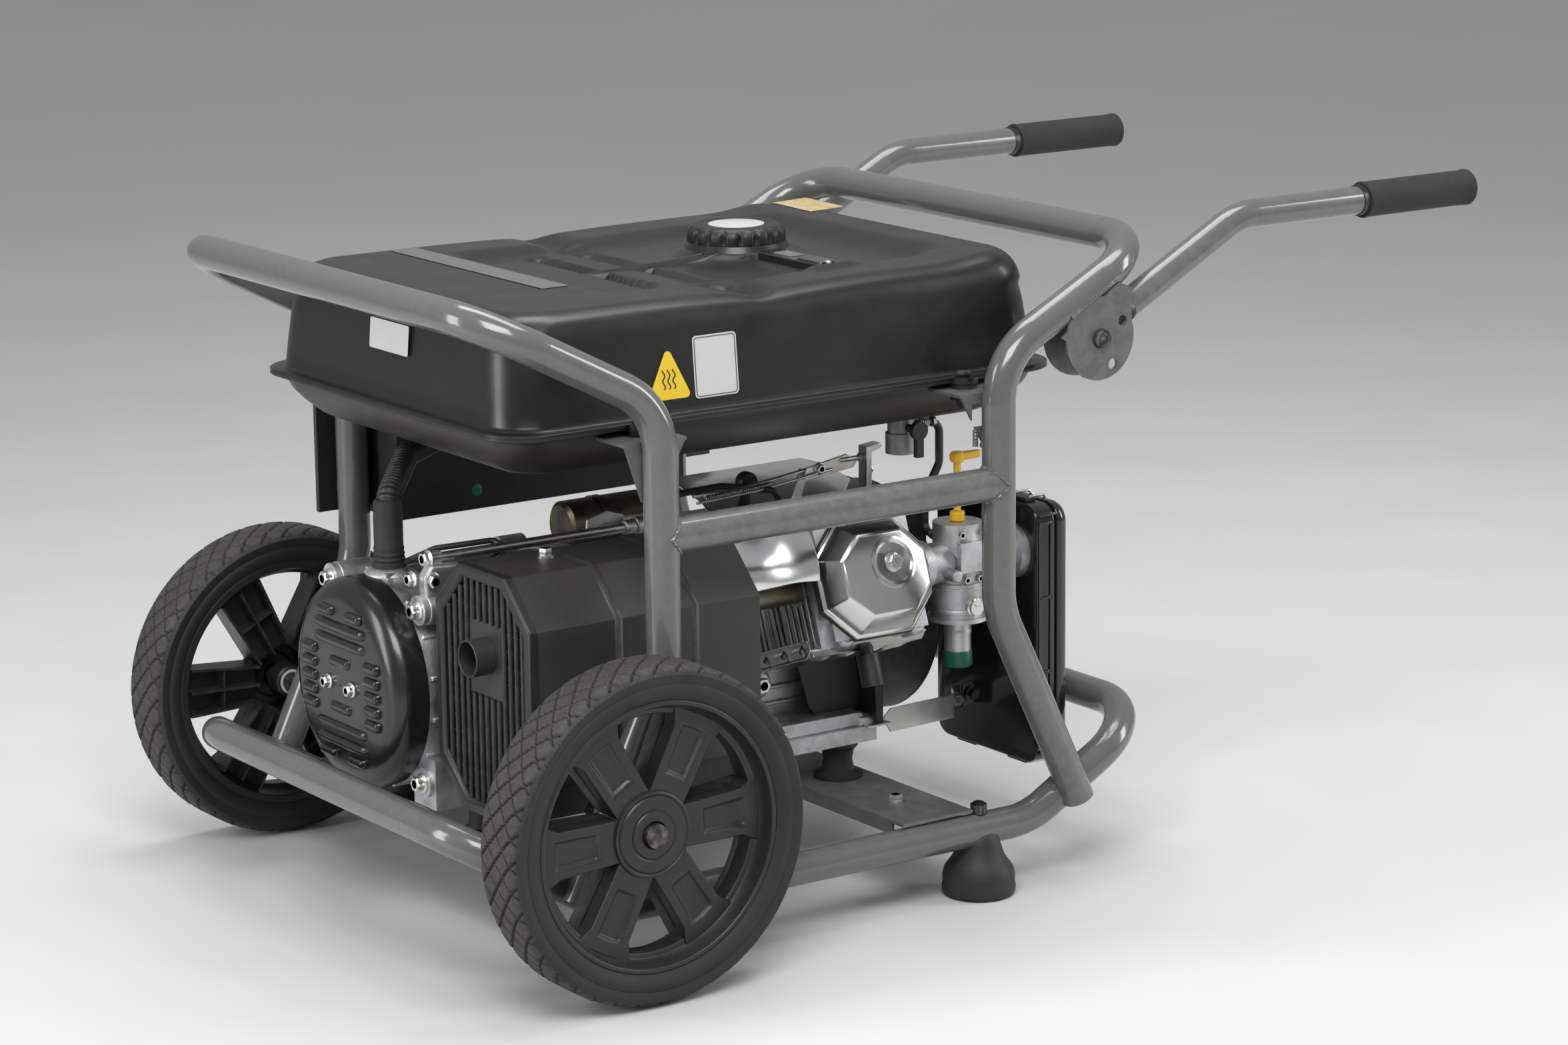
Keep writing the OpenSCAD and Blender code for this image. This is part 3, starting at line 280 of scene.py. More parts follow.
def tread_material():
    """Solid tyre: the tops of the blocks lighter and tan, as dust and painted light; the grooves and walls
    left darker as painted shade.
    """
    m = material("tyre_rubber", (0.012, 0.0118, 0.0116), rough=0.66, spread=0.1, tone=0.25,
                 grain=(900, 0.5, 0.0004), dust=0.05)
    t = m.node_tree
    shader = t.nodes["Principled BSDF"]
    dust_and_groove_shade = shade_node(t, "ShaderNodeVertexColor", layer_name="block")
    coords = shade_node(t, "ShaderNodeTexCoord").outputs["Object"]
    patch = remap(t, noise(t, coords, 260, 6, 0.7), 0.35, 0.65, 0.25, 1.0)
    # the block value gives tan dust and painted light on the block tops, and leaves painted shade in the
    # grooves and on the walls
    factor = maths(t, "MULTIPLY", dust_and_groove_shade.outputs["Color"], patch, True)
    old = shader.inputs["Base Color"].links[0].from_socket
    link(t, mix(t, factor, old, (0.052, 0.048, 0.042)), shader.inputs["Base Color"])
    return m


M["tread"] = tread_material()


# ---------- mesh building ----------


def axes_of(direction):
    w = Vector(direction).normalized()
    u = w.cross(Vector((0, 0, 1)))
    if u.length < 1e-3:
        u = Vector((1, 0, 0))
    u.normalize()
    return u, w.cross(u), w


class Shape:
    """Vertices and faces in millimetres, gathered into one object."""

    def __init__(self, place=None):
        self.v, self.f, self.place = [], [], place

    def add(self, verts, faces):
        n = len(self.v)
        self.v += [Vector(p) for p in verts]
        self.f += [[i + n for i in f] for f in faces]
        return self

    def loft(self, rings, closed=True, cap=True):
        n, verts, faces = len(rings[0]), [p for r in rings for p in r], []
        for k in range(len(rings) - 1):
            for i in range(n if closed else n - 1):
                j = (i + 1) % n
                faces.append([k * n + i, k * n + j, (k + 1) * n + j, (k + 1) * n + i])
        if cap and closed:
            faces.append(list(range(n))[::-1])
            faces.append([(len(rings) - 1) * n + i for i in range(n)])
        return self.add(verts, faces)

    def box(self, x0, x1, y0, y1, z0, z1):
        return self.prism([(x0, y0), (x1, y0), (x1, y1), (x0, y1)], "z", z0, z1)

    def prism(self, outline, axis, a, b):
        def put(p, h):
            return {"x": (h, p[0], p[1]), "y": (p[0], h, p[1]), "z": (p[0], p[1], h)}[axis]

        return self.loft([[put(p, a) for p in outline], [put(p, b) for p in outline]])

    def lathe(self, profile, origin, direction, seg=64, cap=True):
        u, v, w = axes_of(direction)
        o = Vector(origin)
        rings = []
        for r, h in profile:
            rings.append([
                o + w * h + (u * math.cos(a) + v * math.sin(a)) * r
                for a in (2 * math.pi * i / seg for i in range(seg))
            ])
        return self.loft(rings, cap=cap)

    def rod(self, a, b, r, seg=32):
        d = Vector(b) - Vector(a)
        return self.lathe([(r, 0), (r, d.length)], a, d, seg)

    def tube(self, path, r, seg=24, cap=True):
        """r is a number or a function of the fraction along the path."""
        pts = [Vector(p) for p in path]
        lengths = [0.0]
        for a, b in zip(pts, pts[1:]):
            lengths.append(lengths[-1] + (b - a).length)
        up, rings = None, []
        for i, p in enumerate(pts):
            d = (pts[min(i + 1, len(pts) - 1)] - pts[max(i - 1, 0)]).normalized()
            if up is None:
                up = axes_of(d)[0]
            up = (up - d * up.dot(d)).normalized()
            side = d.cross(up)
            radius = r(lengths[i]) if callable(r) else r
            rings.append([
                p + (up * math.cos(a) + side * math.sin(a)) * radius
                for a in (2 * math.pi * k / seg for k in range(seg))
            ])
        return self.loft(rings, cap=cap)

    def hexagon(self, origin, direction, across, h, washer=True):
        """Flanged hexagon head standing on origin."""
        r = across / 2 / math.cos(math.pi / 6)
        base = 0
        if washer:
            self.lathe([(across * 0.72, 0), (across * 0.72, 1.2), (across * 0.6, 2)],
                       origin, direction, 32)
            base = 1.5
        self.lathe([(r * 0.93, base), (r, base + 1), (r, h - 1), (r * 0.9, h)], origin, direction, 6)
        return self.lathe([(r * 0.55, h), (r * 0.5, h - 0.8)], origin, direction, 24)

    def build(self, name, mat, body="frame", bevel=0.0, seg=2, angle=35, slot=None, replaces=()):
        me = bpy.data.meshes.new(name)
        place = self.place
        verts = [place @ p for p in self.v] if place else self.v
        me.from_pydata([W(*p) for p in verts], [], self.f)
        bm = bmesh.new()
        bm.from_mesh(me)
        bmesh.ops.remove_doubles(bm, verts=bm.verts, dist=1e-6)
        bmesh.ops.recalc_face_normals(bm, faces=bm.faces)
        bm.to_mesh(me)
        bm.free()
        me.shade_smooth()
        me.set_sharp_from_angle(angle=math.radians(angle))
        o = bpy.data.objects.new(name, me)
        bpy.context.scene.collection.objects.link(o)
        me.materials.append(M[mat] if isinstance(mat, str) else mat)
        if bevel:
            b = o.modifiers.new("bevel", "BEVEL")
            b.width = bevel * 0.001
            b.segments = seg
            b.limit_method = "ANGLE"
            b.angle_limit = math.radians(30)
            b.harden_normals = False
        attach(o, body)
        if replaces:
            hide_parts(*replaces)
        return o


def rounded(points, bends, step=6):
    """The path through the points with its corners turned on arcs."""
    pts = [Vector(p) for p in points]
    out = [pts[0]]
    for i in range(1, len(pts) - 1):
        p, q, s = pts[i - 1], pts[i], pts[i + 1]
        a, b = (q - p).normalized(), (s - q).normalized()
        angle = a.angle(b)
        r = bends[i - 1] if isinstance(bends, (list, tuple)) else bends
        if angle < 1e-3 or r == 0:
            out.append(q)
            continue
        back = r * math.tan(angle / 2)
        start = q - a * back
        n = (b - a * a.dot(b)).normalized()
        centre = start + n * r
        count = max(2, int(math.degrees(angle) / step))
        for k in range(count + 1):
            t = angle * k / count
            out.append(centre + (-n * math.cos(t) + a * math.sin(t)) * r)
    out.append(pts[-1])
    return out


def fine_path(path, step):
    """The same path with a point about every step."""
    out = [Vector(path[0])]
    for a, b in zip(path, path[1:]):
        a, b = Vector(a), Vector(b)
        n = max(1, int(round((b - a).length / step)))
        out += [a + (b - a) * (k / n) for k in range(1, n + 1)]
    return out


def round_rect(x0, x1, y0, y1, r, per=10, side=1):
    """Outline of a rectangle with round corners, counter-clockwise."""
    r = max(0.5, min(r, (x1 - x0) / 2 - 0.01, (y1 - y0) / 2 - 0.01))
    out = []
    corners = (((x1 - r), (y1 - r), 0), ((x0 + r), (y1 - r), 90), ((x0 + r), (y0 + r), 180),
               ((x1 - r), (y0 + r), 270))
    for cx, cy, a0 in corners:
        for k in range(per + 1):
            a = math.radians(a0 + 90 * k / per)
            out.append((cx + r * math.cos(a), cy + r * math.sin(a)))
    if side <= 1:
        return out
    full = []
    for i, p in enumerate(out):
        q = out[(i + 1) % len(out)]
        full.append(p)
        if i % (per + 1) == per:
            for k in range(1, side):
                full.append((p[0] + (q[0] - p[0]) * k / side, p[1] + (q[1] - p[1]) * k / side))
    return full


def oct2(w, h, c):
    """Rectangle of half sizes w and h with its corners cut off by c."""
    return [(-w + c, -h), (w - c, -h), (w, -h + c), (w, h - c), (w - c, h), (-w + c, h), (-w, h - c),
            (-w, -h + c)]


def octagon(cy, cz, w, h, c):
    return [(cy + y, cz + z) for y, z in oct2(w, h, c)]


def circle(cx, cy, r, n=32, start=0.0):
    angles = [start + 2 * math.pi * i / n for i in range(n)]
    return [(cx + r * math.cos(a), cy + r * math.sin(a)) for a in angles]


def grid_faces(rows, columns):
    """Quads over a grid of rows + 1 by columns + 1 points."""
    corners = [i * (columns + 1) + j for i in range(rows) for j in range(columns)]
    return [[a, a + 1, a + columns + 2, a + columns + 1] for a in corners]


def thicken(o, metres):
    """Give an open sheet its thickness, half on each side."""
    m = o.modifiers.new("thickness", "SOLIDIFY")
    m.thickness, m.offset = metres, 0


def paint(mat, *nodes):
    """A better material on CAD nodes that stay as they are."""
    for n in nodes:
        o = NODES[n]
        o.data.materials.clear()
        o.data.materials.append(M[mat])


def step_between(x, a, b):
    """0 before a, 1 after b, smooth between."""
    t = max(0.0, min(1.0, (x - a) / (b - a)))
    return t * t * (3 - 2 * t)


def bell(x, centre, width):
    return math.exp(-(((x - centre) / width) ** 2))


# ---------- frame ----------

paint("tube", "base_loop", "left_hoop", "right_hoop", "mid_rail", "handle_near", "handle_far")
paint("bracket", "cross_members", "tank_brackets", "handle_plates")
paint("zinc", "alternator_bolts")
paint("black_bolt", "frame_bolts", "wheel_bolts", "lock_button_near", "lock_button_far")
paint("rubber", "tank_mounts", "cap_gasket")
paint("white", "fuel_strainer", "float_arm")
paint("cast", "crankcase", "cylinder_head", "engine_adapter", "end_bracket", "carburettor")
paint("cast_dark", "fuel_tap")
paint("iron", "stator", "rotor", "flywheel")
paint("steel", "crankshaft")
paint("sheet", "fan_housing", "recoil_cover")
paint("hot", "muffler")
paint("hose", "fuel_hose", "spark_plug")
paint("plastic", "tap_lever", "sockets", "breaker_button")
paint("panel", "control_panel")
paint("red", "engine_switch")

UPRIGHT_X, UPRIGHT_Y, RAIL_Y = 188.0, 280.0, 264.0
HANDLE_Y = 278
TUBE_R = 16.0


def saddle_weld(shape, axis_point, bar_dir, tube_dir, r_bar, r_tube, bead=1.9):
    """Bead where a bar of radius r_bar meets a tube of radius r_tube at axis_point."""
    w = Vector(bar_dir).normalized()
    t = Vector(tube_dir).normalized()
    n = t.cross(w).normalized()
    count, rings = 140, []
    for i in range(count + 1):
        a = 2 * math.pi * i / count
        across = math.cos(a) * r_bar
        along = math.sin(a) * r_bar
        depth = math.sqrt(max(0.0, r_tube ** 2 - min(r_tube ** 2, across ** 2)))
        slope = w.dot(t)
        c = Vector(axis_point) + n * across
        perp = (t - w * slope).normalized()
        c = c + perp * along + w * ((depth + along * slope) / max(0.2, math.sqrt(1 - slope * slope)))
        out = (n * math.cos(a) + perp * math.sin(a)).normalized()
        size = bead + 0.5 * math.sin(a * 17) + 0.25 * math.sin(a * 41)
        rings.append([c + (out * math.cos(b) + w * math.sin(b)) * size
                      for b in (2 * math.pi * k / 8 for k in range(8))])
    return shape.loft(rings, cap=False)


welds = Shape()
for sx in (1, -1):
    saddle_weld(welds, (sx * UPRIGHT_X, -UPRIGHT_Y, 402), (-sx, 0, 0), (0, 0, 1), TUBE_R, TUBE_R)
for sx in (1, -1):
    for sy in (1, -1):
        rail_dir = Vector((146 * sx, 0, 82.5)).normalized()
        along = Vector((236 * sx, sy * RAIL_Y, 63.5))
        meet = along + rail_dir * 43
        rings = []
        for i in range(121):
            a = math.pi * (0.1 + 0.8 * i / 120)
            c = Vector((meet.x + 17 * math.cos(a) * sx * -1, sy * (RAIL_Y + 9), 0))
            t = (c.x - along.x) / rail_dir.x
            c.z = (along + rail_dir * t).z + 15.0 + 1.5 * math.sin(a)
            size = 2.6 + 0.5 * math.sin(i * 0.9)
            rings.append([c + Vector((0, math.cos(b), math.sin(b))) * size
                          for b in (2 * math.pi * k / 8 for k in range(8))])
        welds.loft(rings)
welds.build("weld_beads", "weld", slot="frame_paint")

# short beads that hold the handle plates and the tank brackets
tacks = Shape()


def tack(a, b, r=2.6):
    a, b = Vector(a), Vector(b)
    path = fine_path([a, b], 1.6)
    tacks.tube(path, lambda s: r + 0.7 * math.sin(s * 1.9), seg=10)


for sy in (1, -1):
    for dy in (-16.5, 16.5):
        y = sy * HANDLE_Y + dy
        tack((262, y, 552), (318, y, 584))
    for sx in (1, -1):
        tack((sx * 172.5, sy * 264.5, 436), (sx * 172.5, sy * 264.5, 452))
        tack((sx * 180, sy * 263.6, 436), (sx * 196, sy * 263.6, 436))
tacks.build("tack_welds", "weld", slot="frame_paint")

# bolts near both ends of each cross member
for i, (x0, x1) in enumerate(((84, 166), (-285, -205))):
    s = Shape()
    for y in (-200, 200):
        s.hexagon(((x0 + x1) / 2, y, 85), (0, 0, 1), 13, 7)
    s.build(f"deck_bolts_{i}", "zinc")

# ---------- handles ----------

GRIP_START, GRIP_UP = 636, 626

for side, sy in (("near", -1), ("far", 1)):
    y = sy * HANDLE_Y
    grip = Shape()
    profile = [(14.02, 0), (17.2, 0.2), (18, 1.2), (18, 3.5), (17.4, 4.5), (17.4, 134), (18, 136),
               (18, 139), (17.2, 139.9), (12, 140), (9, 139.6)]
    grip.lathe(profile, (GRIP_START, y, GRIP_UP), (1, 0, 0), 64)
    grip.build(f"foam_grip_{side}", "foam", f"handle_{side}", bevel=0.4, slot="grip_foam",
               replaces=(f"grip_{side}",))
    ring = Shape()
    ring.lathe([(14.2, 0), (15.0, 0.5), (15.0, 5.5), (14.2, 6)], (GRIP_START - 7, y, GRIP_UP), (1, 0, 0), 48)
    ring.build(f"grip_collar_{side}", "black_label", f"handle_{side}")
    bolts = Shape()
    bolts.lathe([(9.4, 0), (9.4, 0.8), (8.6, 3.2), (6.5, 4.8), (4.2, 5.4), (4.0, 3.0), (0.5, 2.6)],
                (296, sy * 296, 529), (0, sy, 0), 48)
    bolts.build(f"pivot_head_{side}", "black_bolt")
    stud = Shape()
    stud.lathe([(7.5, 0), (7.5, 1), (5, 2.2), (1, 2.4)], (334, y + sy * 14.0, 549.2),
               (0, sy, 0), 32)
    stud.build(f"tube_plug_{side}", "black_bolt", f"handle_{side}")

# ---------- feet and isolators ----------

for side, sy in (("near", -1), ("far", 1)):
    foot = Shape()
    c = (176, sy * RAIL_Y, 0)
    foot.lathe([(10.5, 21), (10.5, 5), (16, 3), (20, 0.4), (29, 0), (33, 1), (35, 4), (35.5, 8), (34.6, 12),
                (34.8, 20), (33, 27), (28.5, 33), (25.5, 37), (23, 43), (21, 50), (19.4, 58), (17, 61),
                (12, 60), (8, 48)], c, (0, 0, 1), 72)
    foot.build(f"foot_{side}", "rubber", bevel=0, replaces=("rubber_feet",), slot="rubber")

MOUNT_PLACES = ((132, -95, 121), (132, 125, 121), (-245, -55, 122), (-245, 101, 122))
isolators = Shape()
for x, y, top in MOUNT_PLACES:
    h = top - 85
    isolators.lathe([(24, 0.1), (24, 4), (21, 5), (16, 8), (14.2, h / 2), (16, h - 8), (19, h - 5),
                     (20, h - 4), (20, h - 0.1), (8, h - 0.1)], (x, y, 85), (0, 0, 1), 48)
isolators.build("isolators", "rubber", replaces=("rubber_mounts",), slot="rubber")
studs = Shape()
for x, y, _ in MOUNT_PLACES:
    studs.hexagon((x, y, 82), (0, 0, -1), 13, 8)
    studs.rod((x, y, 86), (x, y, 66), 4)
studs.build("isolator_studs", "zinc")

# ---------- wheels ----------

AXLE_X, AXLE_Z, WHEEL_Y = -247.875, 155.0, 336.0


def wheel_pieces(side, sy):
    body = f"wheel_{side}"
    c = Vector((AXLE_X, sy * WHEEL_Y, AXLE_Z))
    place = Matrix.Translation(c) @ (Matrix.Rotation(math.radians(90 if sy < 0 else -90), 4, "X"))
    # in the wheel's own frame Z points out, away from the machine
    rim = Shape(place)
    rim.lathe([(116, -26), (124, -26), (124, 26), (121.5, 27.2), (119, 26.5), (117.5, 22), (116, 15),
               (113.5, 11), (109, 10), (108, 8), (108, -8), (112, -12)], (0, 0, 0), (0, 0, 1), 144,
              cap=False)
    rim.lathe([(112, -12), (116, -26)], (0, 0, 0), (0, 0, 1), 144, cap=False)
    rim.build(f"rim_{side}", "wheel", body, bevel=0.8, slot="black_plastic",
              replaces=(f"wheel_{side}",))
    spokes = Shape(place)
    for k in range(6):
        turn = Matrix.Rotation(math.radians(60 * k + 2), 4, "Z")
        outer = [(30, -19.5), (96, -22), (113, -31), (115, 0), (113, 31), (96, 22), (30, 19.5)]
        inner = [(55, -12), (92, -13), (100, -13.5), (101, 0), (100, 13.5), (92, 13), (55, 12)]
        shelf = [(57, -9.6), (92, -10.6), (98, -11), (98.6, 0), (98, 11), (92, 10.6), (57, 9.6)]
        # the long sides flare towards the rim and the recess has soft walls
        lo = [turn @ Vector((x, y, -6)) for x, y in outer]
        hi = [turn @ Vector((x, y, 12)) for x, y in outer]
        edge = [turn @ Vector((x, y, 12)) for x, y in inner]
        well = [turn @ Vector((x, y, 8.2)) for x, y in shelf]
        spokes.loft([lo, hi, edge, well])
    spokes.build(f"spokes_{side}", "wheel", body, bevel=2.2, seg=3, slot="black_plastic")
    ribs = Shape(place)
    for k in range(6):
        turn = Matrix.Rotation(math.radians(60 * k + 2), 4, "Z")
        for y in (-18, 0, 18):
            pts = [(34, y - 1.3, -22), (110, y * 1.3 - 1.3, -22), (110, y * 1.3 + 1.3, -22),
                   (34, y + 1.3, -22)]
            lo = [turn @ Vector(p) for p in pts]
            hi = [turn @ Vector((p[0], p[1], -5)) for p in pts]
            ribs.loft([lo, hi])
        cross = [(72, -20), (74, -20), (74, 20), (72, 20)]
        ribs.loft([[turn @ Vector((x, y, -20)) for x, y in cross],
                   [turn @ Vector((x, y, -5)) for x, y in cross]])
    ribs.build(f"wheel_ribs_{side}", "wheel", body, slot="black_plastic")
    hub = Shape(place)
    hub.lathe([(40, -6), (40, 12), (39, 14.6), (37, 15.4), (35.8, 14.4), (35.4, 14.2), (34, 15.6),
               (24, 16.2), (22.8, 15.4), (22, 15.2), (21, 16.4), (13, 16.8), (11, 14.6), (6.06, 14.4),
               (6.06, -24), (14, -24), (16, -22), (18, -6)], (0, 0, 0), (0, 0, 1), 96, cap=False)
    hub.build(f"hub_{side}", "wheel", body, slot="black_plastic")
    bearing = Shape(place)
    bearing.lathe([(6.2, -24.2), (12.5, -24.2), (12.5, -10)], (0, 0, 0), (0, 0, 1), 48, cap=False)
    bearing.build(f"bushing_{side}", "white", body)
    # bolt head with turned rings
    head = Shape(place)
    head.lathe([(11, 14.5), (11, 17.4), (10.2, 19.3), (8.4, 20.3), (7.9, 19.7), (7.0, 19.6),
                (6.6, 20.5), (4.6, 20.9), (4.2, 20.2), (3.2, 20.1), (2.9, 20.8), (0.6, 20.9)],
               (0, 0, 0), (0, 0, 1), 64)
    head.build(f"axle_head_{side}", "black_bolt")
    # tyre with diamond blocks
    tyre_mesh(side, body, place)


TREAD_BLOCKS = 40
TREAD_HALF, TREAD_ARC = 32.0, 33.0
LUG_SKEW = 1.02 / 24.0


def groove_gap(angle, s):
    """Distance from the nearest groove, in parts of a block, at that angle and place across."""
    u = angle / (2 * math.pi) * TREAD_BLOCKS
    k = s * LUG_SKEW
    return 0.5 - max(abs((u + k) % 1.0 - 0.5), abs((u - k) % 1.0 - 0.5))


def tyre_mesh(side, body, place):
    along, across = 880, 44
    verts, faces = [], []
    profile = []
    for j in range(across + 1):
        s = -TREAD_ARC + 2 * TREAD_ARC * j / across
        t = abs(s) / TREAD_ARC
        r = 154.7 - 7.5 * max(0, (t - 0.55) / 0.45) ** 2.2
        profile.append((s * (TREAD_HALF / TREAD_ARC), r, s))
    for i in range(along):
        a = 2 * math.pi * i / along
        for y, r, s in profile:
            groove = 1 - step_between(groove_gap(a, s), 0.035, 0.085)
            edge = step_between(abs(s) / TREAD_ARC, 0.86, 0.94)
            depth = 2.6 * groove * (1 - edge)
            rr = r - depth
            verts.append((rr * math.cos(a), rr * math.sin(a), y))
    n = across + 1
    for i in range(along):
        p, q = i * n, ((i + 1) % along) * n
        for j in range(across):
            faces.append([p + j, q + j, q + j + 1, p + j + 1])
    tread = Shape(place)
    tread.add(verts, faces)
    # side walls down to the rim, with a shallow moulded ring
    for sz in (1, -1):
        wall = [(147.2, 32.0), (144.5, 32.0), (141, 31.0), (138.8, 30.4), (138, 31.2), (131.5, 31.0),
                (128, 28.8), (125.2, 27.2), (123.8, 25.9)]
        tread.lathe([(r, sz * h) for r, h in wall], (0, 0, 0), (0, 0, 1), 220, cap=False)
    o = tread.build(f"tread_{side}", "tread", body, angle=50, slot="tyre",
                    replaces=(f"tyre_{side}",))
    me = o.data
    dust_and_groove_shade = me.color_attributes.new("block", "FLOAT_COLOR", "POINT")
    inverse = place.inverted()
    for i, v in enumerate(me.vertices):
        local = inverse @ Vector(((v.co.x - MID_X) * 1000, v.co.y * 1000, v.co.z * 1000))
        r = math.hypot(local.x, local.y)
        s = local.z * TREAD_ARC / TREAD_HALF
        d = groove_gap(math.atan2(local.y, local.x), s)
        edge = step_between(abs(s) / TREAD_ARC, 0.84, 0.92)
        # 1 on the block tops for dust and painted light, 0 in the grooves and on the walls, which stay dark
        # as painted shade
        value = step_between(d, 0.05, 0.1) * (1 - edge) if r > 147.3 else 0.0
        dust_and_groove_shade.data[i].color = (value, value, value, 1)


wheel_pieces("near", -1)
wheel_pieces("far", 1)

# ---------- tank ----------

TX0, TX1, TY = -318.0, 304.0, 235.0
CAP_X, CAP_Y = 100, 22
GAUGE_X, GAUGE_Y = 95, -92
SEAM = 495.0


def top_height(x, y):
    """Height of the pressed top: two long rails, a sunk middle, cross beads and a raised end."""
    rail = step_between(abs(y), 118, 152)
    sunk = step_between(x, -156, -138) * (1 - step_between(x, 196, 232)) * (1 - rail)
    z = 599.5 - 8.5 * sunk
    z += 5.5 * step_between(x, 170, 250) * step_between(x, 150, 240)
    z -= 2.0 * step_between(-x, 250, 320)
    if y < 0:
        saddle = bell(x, -22, 70) * rail * 3.0
        z -= saddle
    else:
        z -= bell(x, -22, 70) * rail * 2.0
    # beads across the sunk middle
    for centre, y0, y1 in ((-76, -96, 112), (-24, -100, 102)):
        inside = step_between(y, y0 - 8, y0 + 6) * (1 - step_between(y, y1 - 6, y1 + 8))
        z -= 6.5 * inside * (1 - step_between(abs(x - centre), 4.5, 10.5))
    # groove through the near rail
    z -= 15.0 * bell(x, -26, 15) * step_between(-y, 108, 140) * (1 - step_between(-y, 176, 214))
    z -= 9.0 * bell(x, -26, 15) * step_between(y, 108, 140) * (1 - step_between(y, 186, 214))
    # raised collar round the filler
    d = math.hypot(x - CAP_X, y - CAP_Y)
    z += 7.0 * (1 - step_between(d, 46, 68))
    g = max(abs(x - GAUGE_X) - 18, abs(y - GAUGE_Y) - 54, 0)
    z += 3.5 * (1 - step_between(g, 2, 12)) * step_between(d, 46, 60)
    return z


def level_ring(outline, z):
    return [Vector((x, y, z)) for x, y in outline]


def tank_outline(inset, r, side):
    return round_rect(TX0 + inset, TX1 - inset, -TY + inset, TY - inset, r, 14, side)


def seam_ears(shape, z0, z1):
    """Round ears of the seam flange over the four rubber buffers."""
    for sx in (-1, 1):
        for sy in (-1, 1):
            shape.prism(circle(sx * 180, sy * 236, 14), "z", z0, z1)


def tank_upper_mesh():
    rings = []
    # flange, wall and shoulder, from outside in: (inset, height or None for the top surface)
    wall = [(0, SEAM, 46), (0, SEAM + 2.4, 46), (0.8, SEAM + 3.0, 46), (8.2, SEAM + 3.2, 44),
            (10.5, SEAM + 4.2, 44), (12.0, SEAM + 8, 44), (13.0, SEAM + 20, 44),
            (14.5, SEAM + 40, 46), (16.5, SEAM + 62, 48), (18.5, SEAM + 76, 50)]
    for inset, z, r in wall:
        rings.append(level_ring(tank_outline(inset, r, 44), z))
    for k in range(1, 9):
        a = math.radians(90 * k / 8)
        inset = 18.5 + 24 * (1 - math.cos(a))
        ring = []
        for x, y in tank_outline(inset, max(28, 50 - inset * 0.3), 44):
            top = top_height(x, y)
            z = SEAM + 76 + (top - SEAM - 76) * math.sin(a)
            ring.append(Vector((x, y, z)))
        rings.append(ring)
    inset = 42.5
    while inset < 226:
        inset += 2.4
        r = max(4, 38 - (inset - 42) * 0.3)
        rings.append([Vector((x, y, top_height(x, y))) for x, y in tank_outline(inset, r, 44)])
    s = Shape()
    s.loft(rings, cap=False)
    last = rings[-1]
    s.add(last, [list(range(len(last)))])
    s.loft([level_ring(tank_outline(0, 46, 44), SEAM), level_ring(tank_outline(12, 42, 44), SEAM)],
           cap=False)
    seam_ears(s, SEAM + 0.05, SEAM + 2.6)
    s.build("tank_top", "tank", angle=55, slot="tank_paint", replaces=("tank_upper",))


tank_upper_mesh()


def tank_lower_mesh():
    rings = []
    spec = [(0, SEAM - 0.1, 46), (0, SEAM - 2.4, 46), (0.8, SEAM - 3.0, 46), (9, SEAM - 3.2, 44),
            (12, SEAM - 4.6, 42), (13.5, SEAM - 9, 42), (17, SEAM - 17, 42), (24, SEAM - 26, 42),
            (31, SEAM - 33, 42), (38, SEAM - 39, 40), (47, SEAM - 43.5, 38), (58, SEAM - 46, 34),
            (72, SEAM - 47, 28)]
    for inset, z, r in spec:
        rings.append(level_ring(tank_outline(inset, r, 20), z))
    s = Shape()
    s.loft(rings, cap=False)
    s.add(rings[-1], [list(range(len(rings[-1])))])
    seam_ears(s, SEAM - 2.9, SEAM - 0.05)
    s.build("tank_bottom", "tank_under", angle=50, slot="tank_under",
                   replaces=("tank_lower",))


tank_lower_mesh()

cap = Shape()
ring_count = 180
profile = [(41.9, 0.4, 0), (45.2, 0.4, 0), (46.2, 1.6, 0), (46.6, 4, 1), (46.6, 13, 1), (46.2, 16, 0.7),
           (44.5, 19, 0.3), (41, 20.9, 0), (37.5, 21.2, 0), (36.6, 20.6, 0), (35.6, 20.5, 0)]
rings = []
for r, h, flute in profile:
    ring = []
    for i in range(ring_count):
        a = 2 * math.pi * i / ring_count
        wave = max(0.0, math.cos(a * 18)) ** 1.4
        rr = r + (1.3 - 4.0 * wave) * flute
        ring.append(Vector((CAP_X + rr * math.cos(a), CAP_Y + rr * math.sin(a), 598.0 + h)))
    rings.append(ring)
cap.loft(rings)
cap.build("cap_shell", "plastic", "fuel_cap", angle=50, slot="black_plastic", replaces=("fuel_cap",))
disc = Shape()
disc.lathe([(27.2, 20.3), (27.2, 20.9), (26.4, 21.1), (0.6, 21.3)], (CAP_X, CAP_Y, 598), (0, 0, 1), 72)
disc.build("cap_disc", "pale_label", "fuel_cap")
neck = Shape()
neck.lathe([(31.4, 588), (30.4, 600), (30.2, 603.4), (29.2, 604.2), (28.2, 603.6), (28.0, 588)],
           (CAP_X, CAP_Y, 0), (0, 0, 1), 72, cap=False)
neck.lathe([(52, 597), (48, 604.2), (42, 605.6), (36, 604.6), (31, 602)], (CAP_X, CAP_Y, -1.5), (0, 0, 1), 96,
           cap=False)
neck.build("filler_neck", "tank", slot="tank_paint")

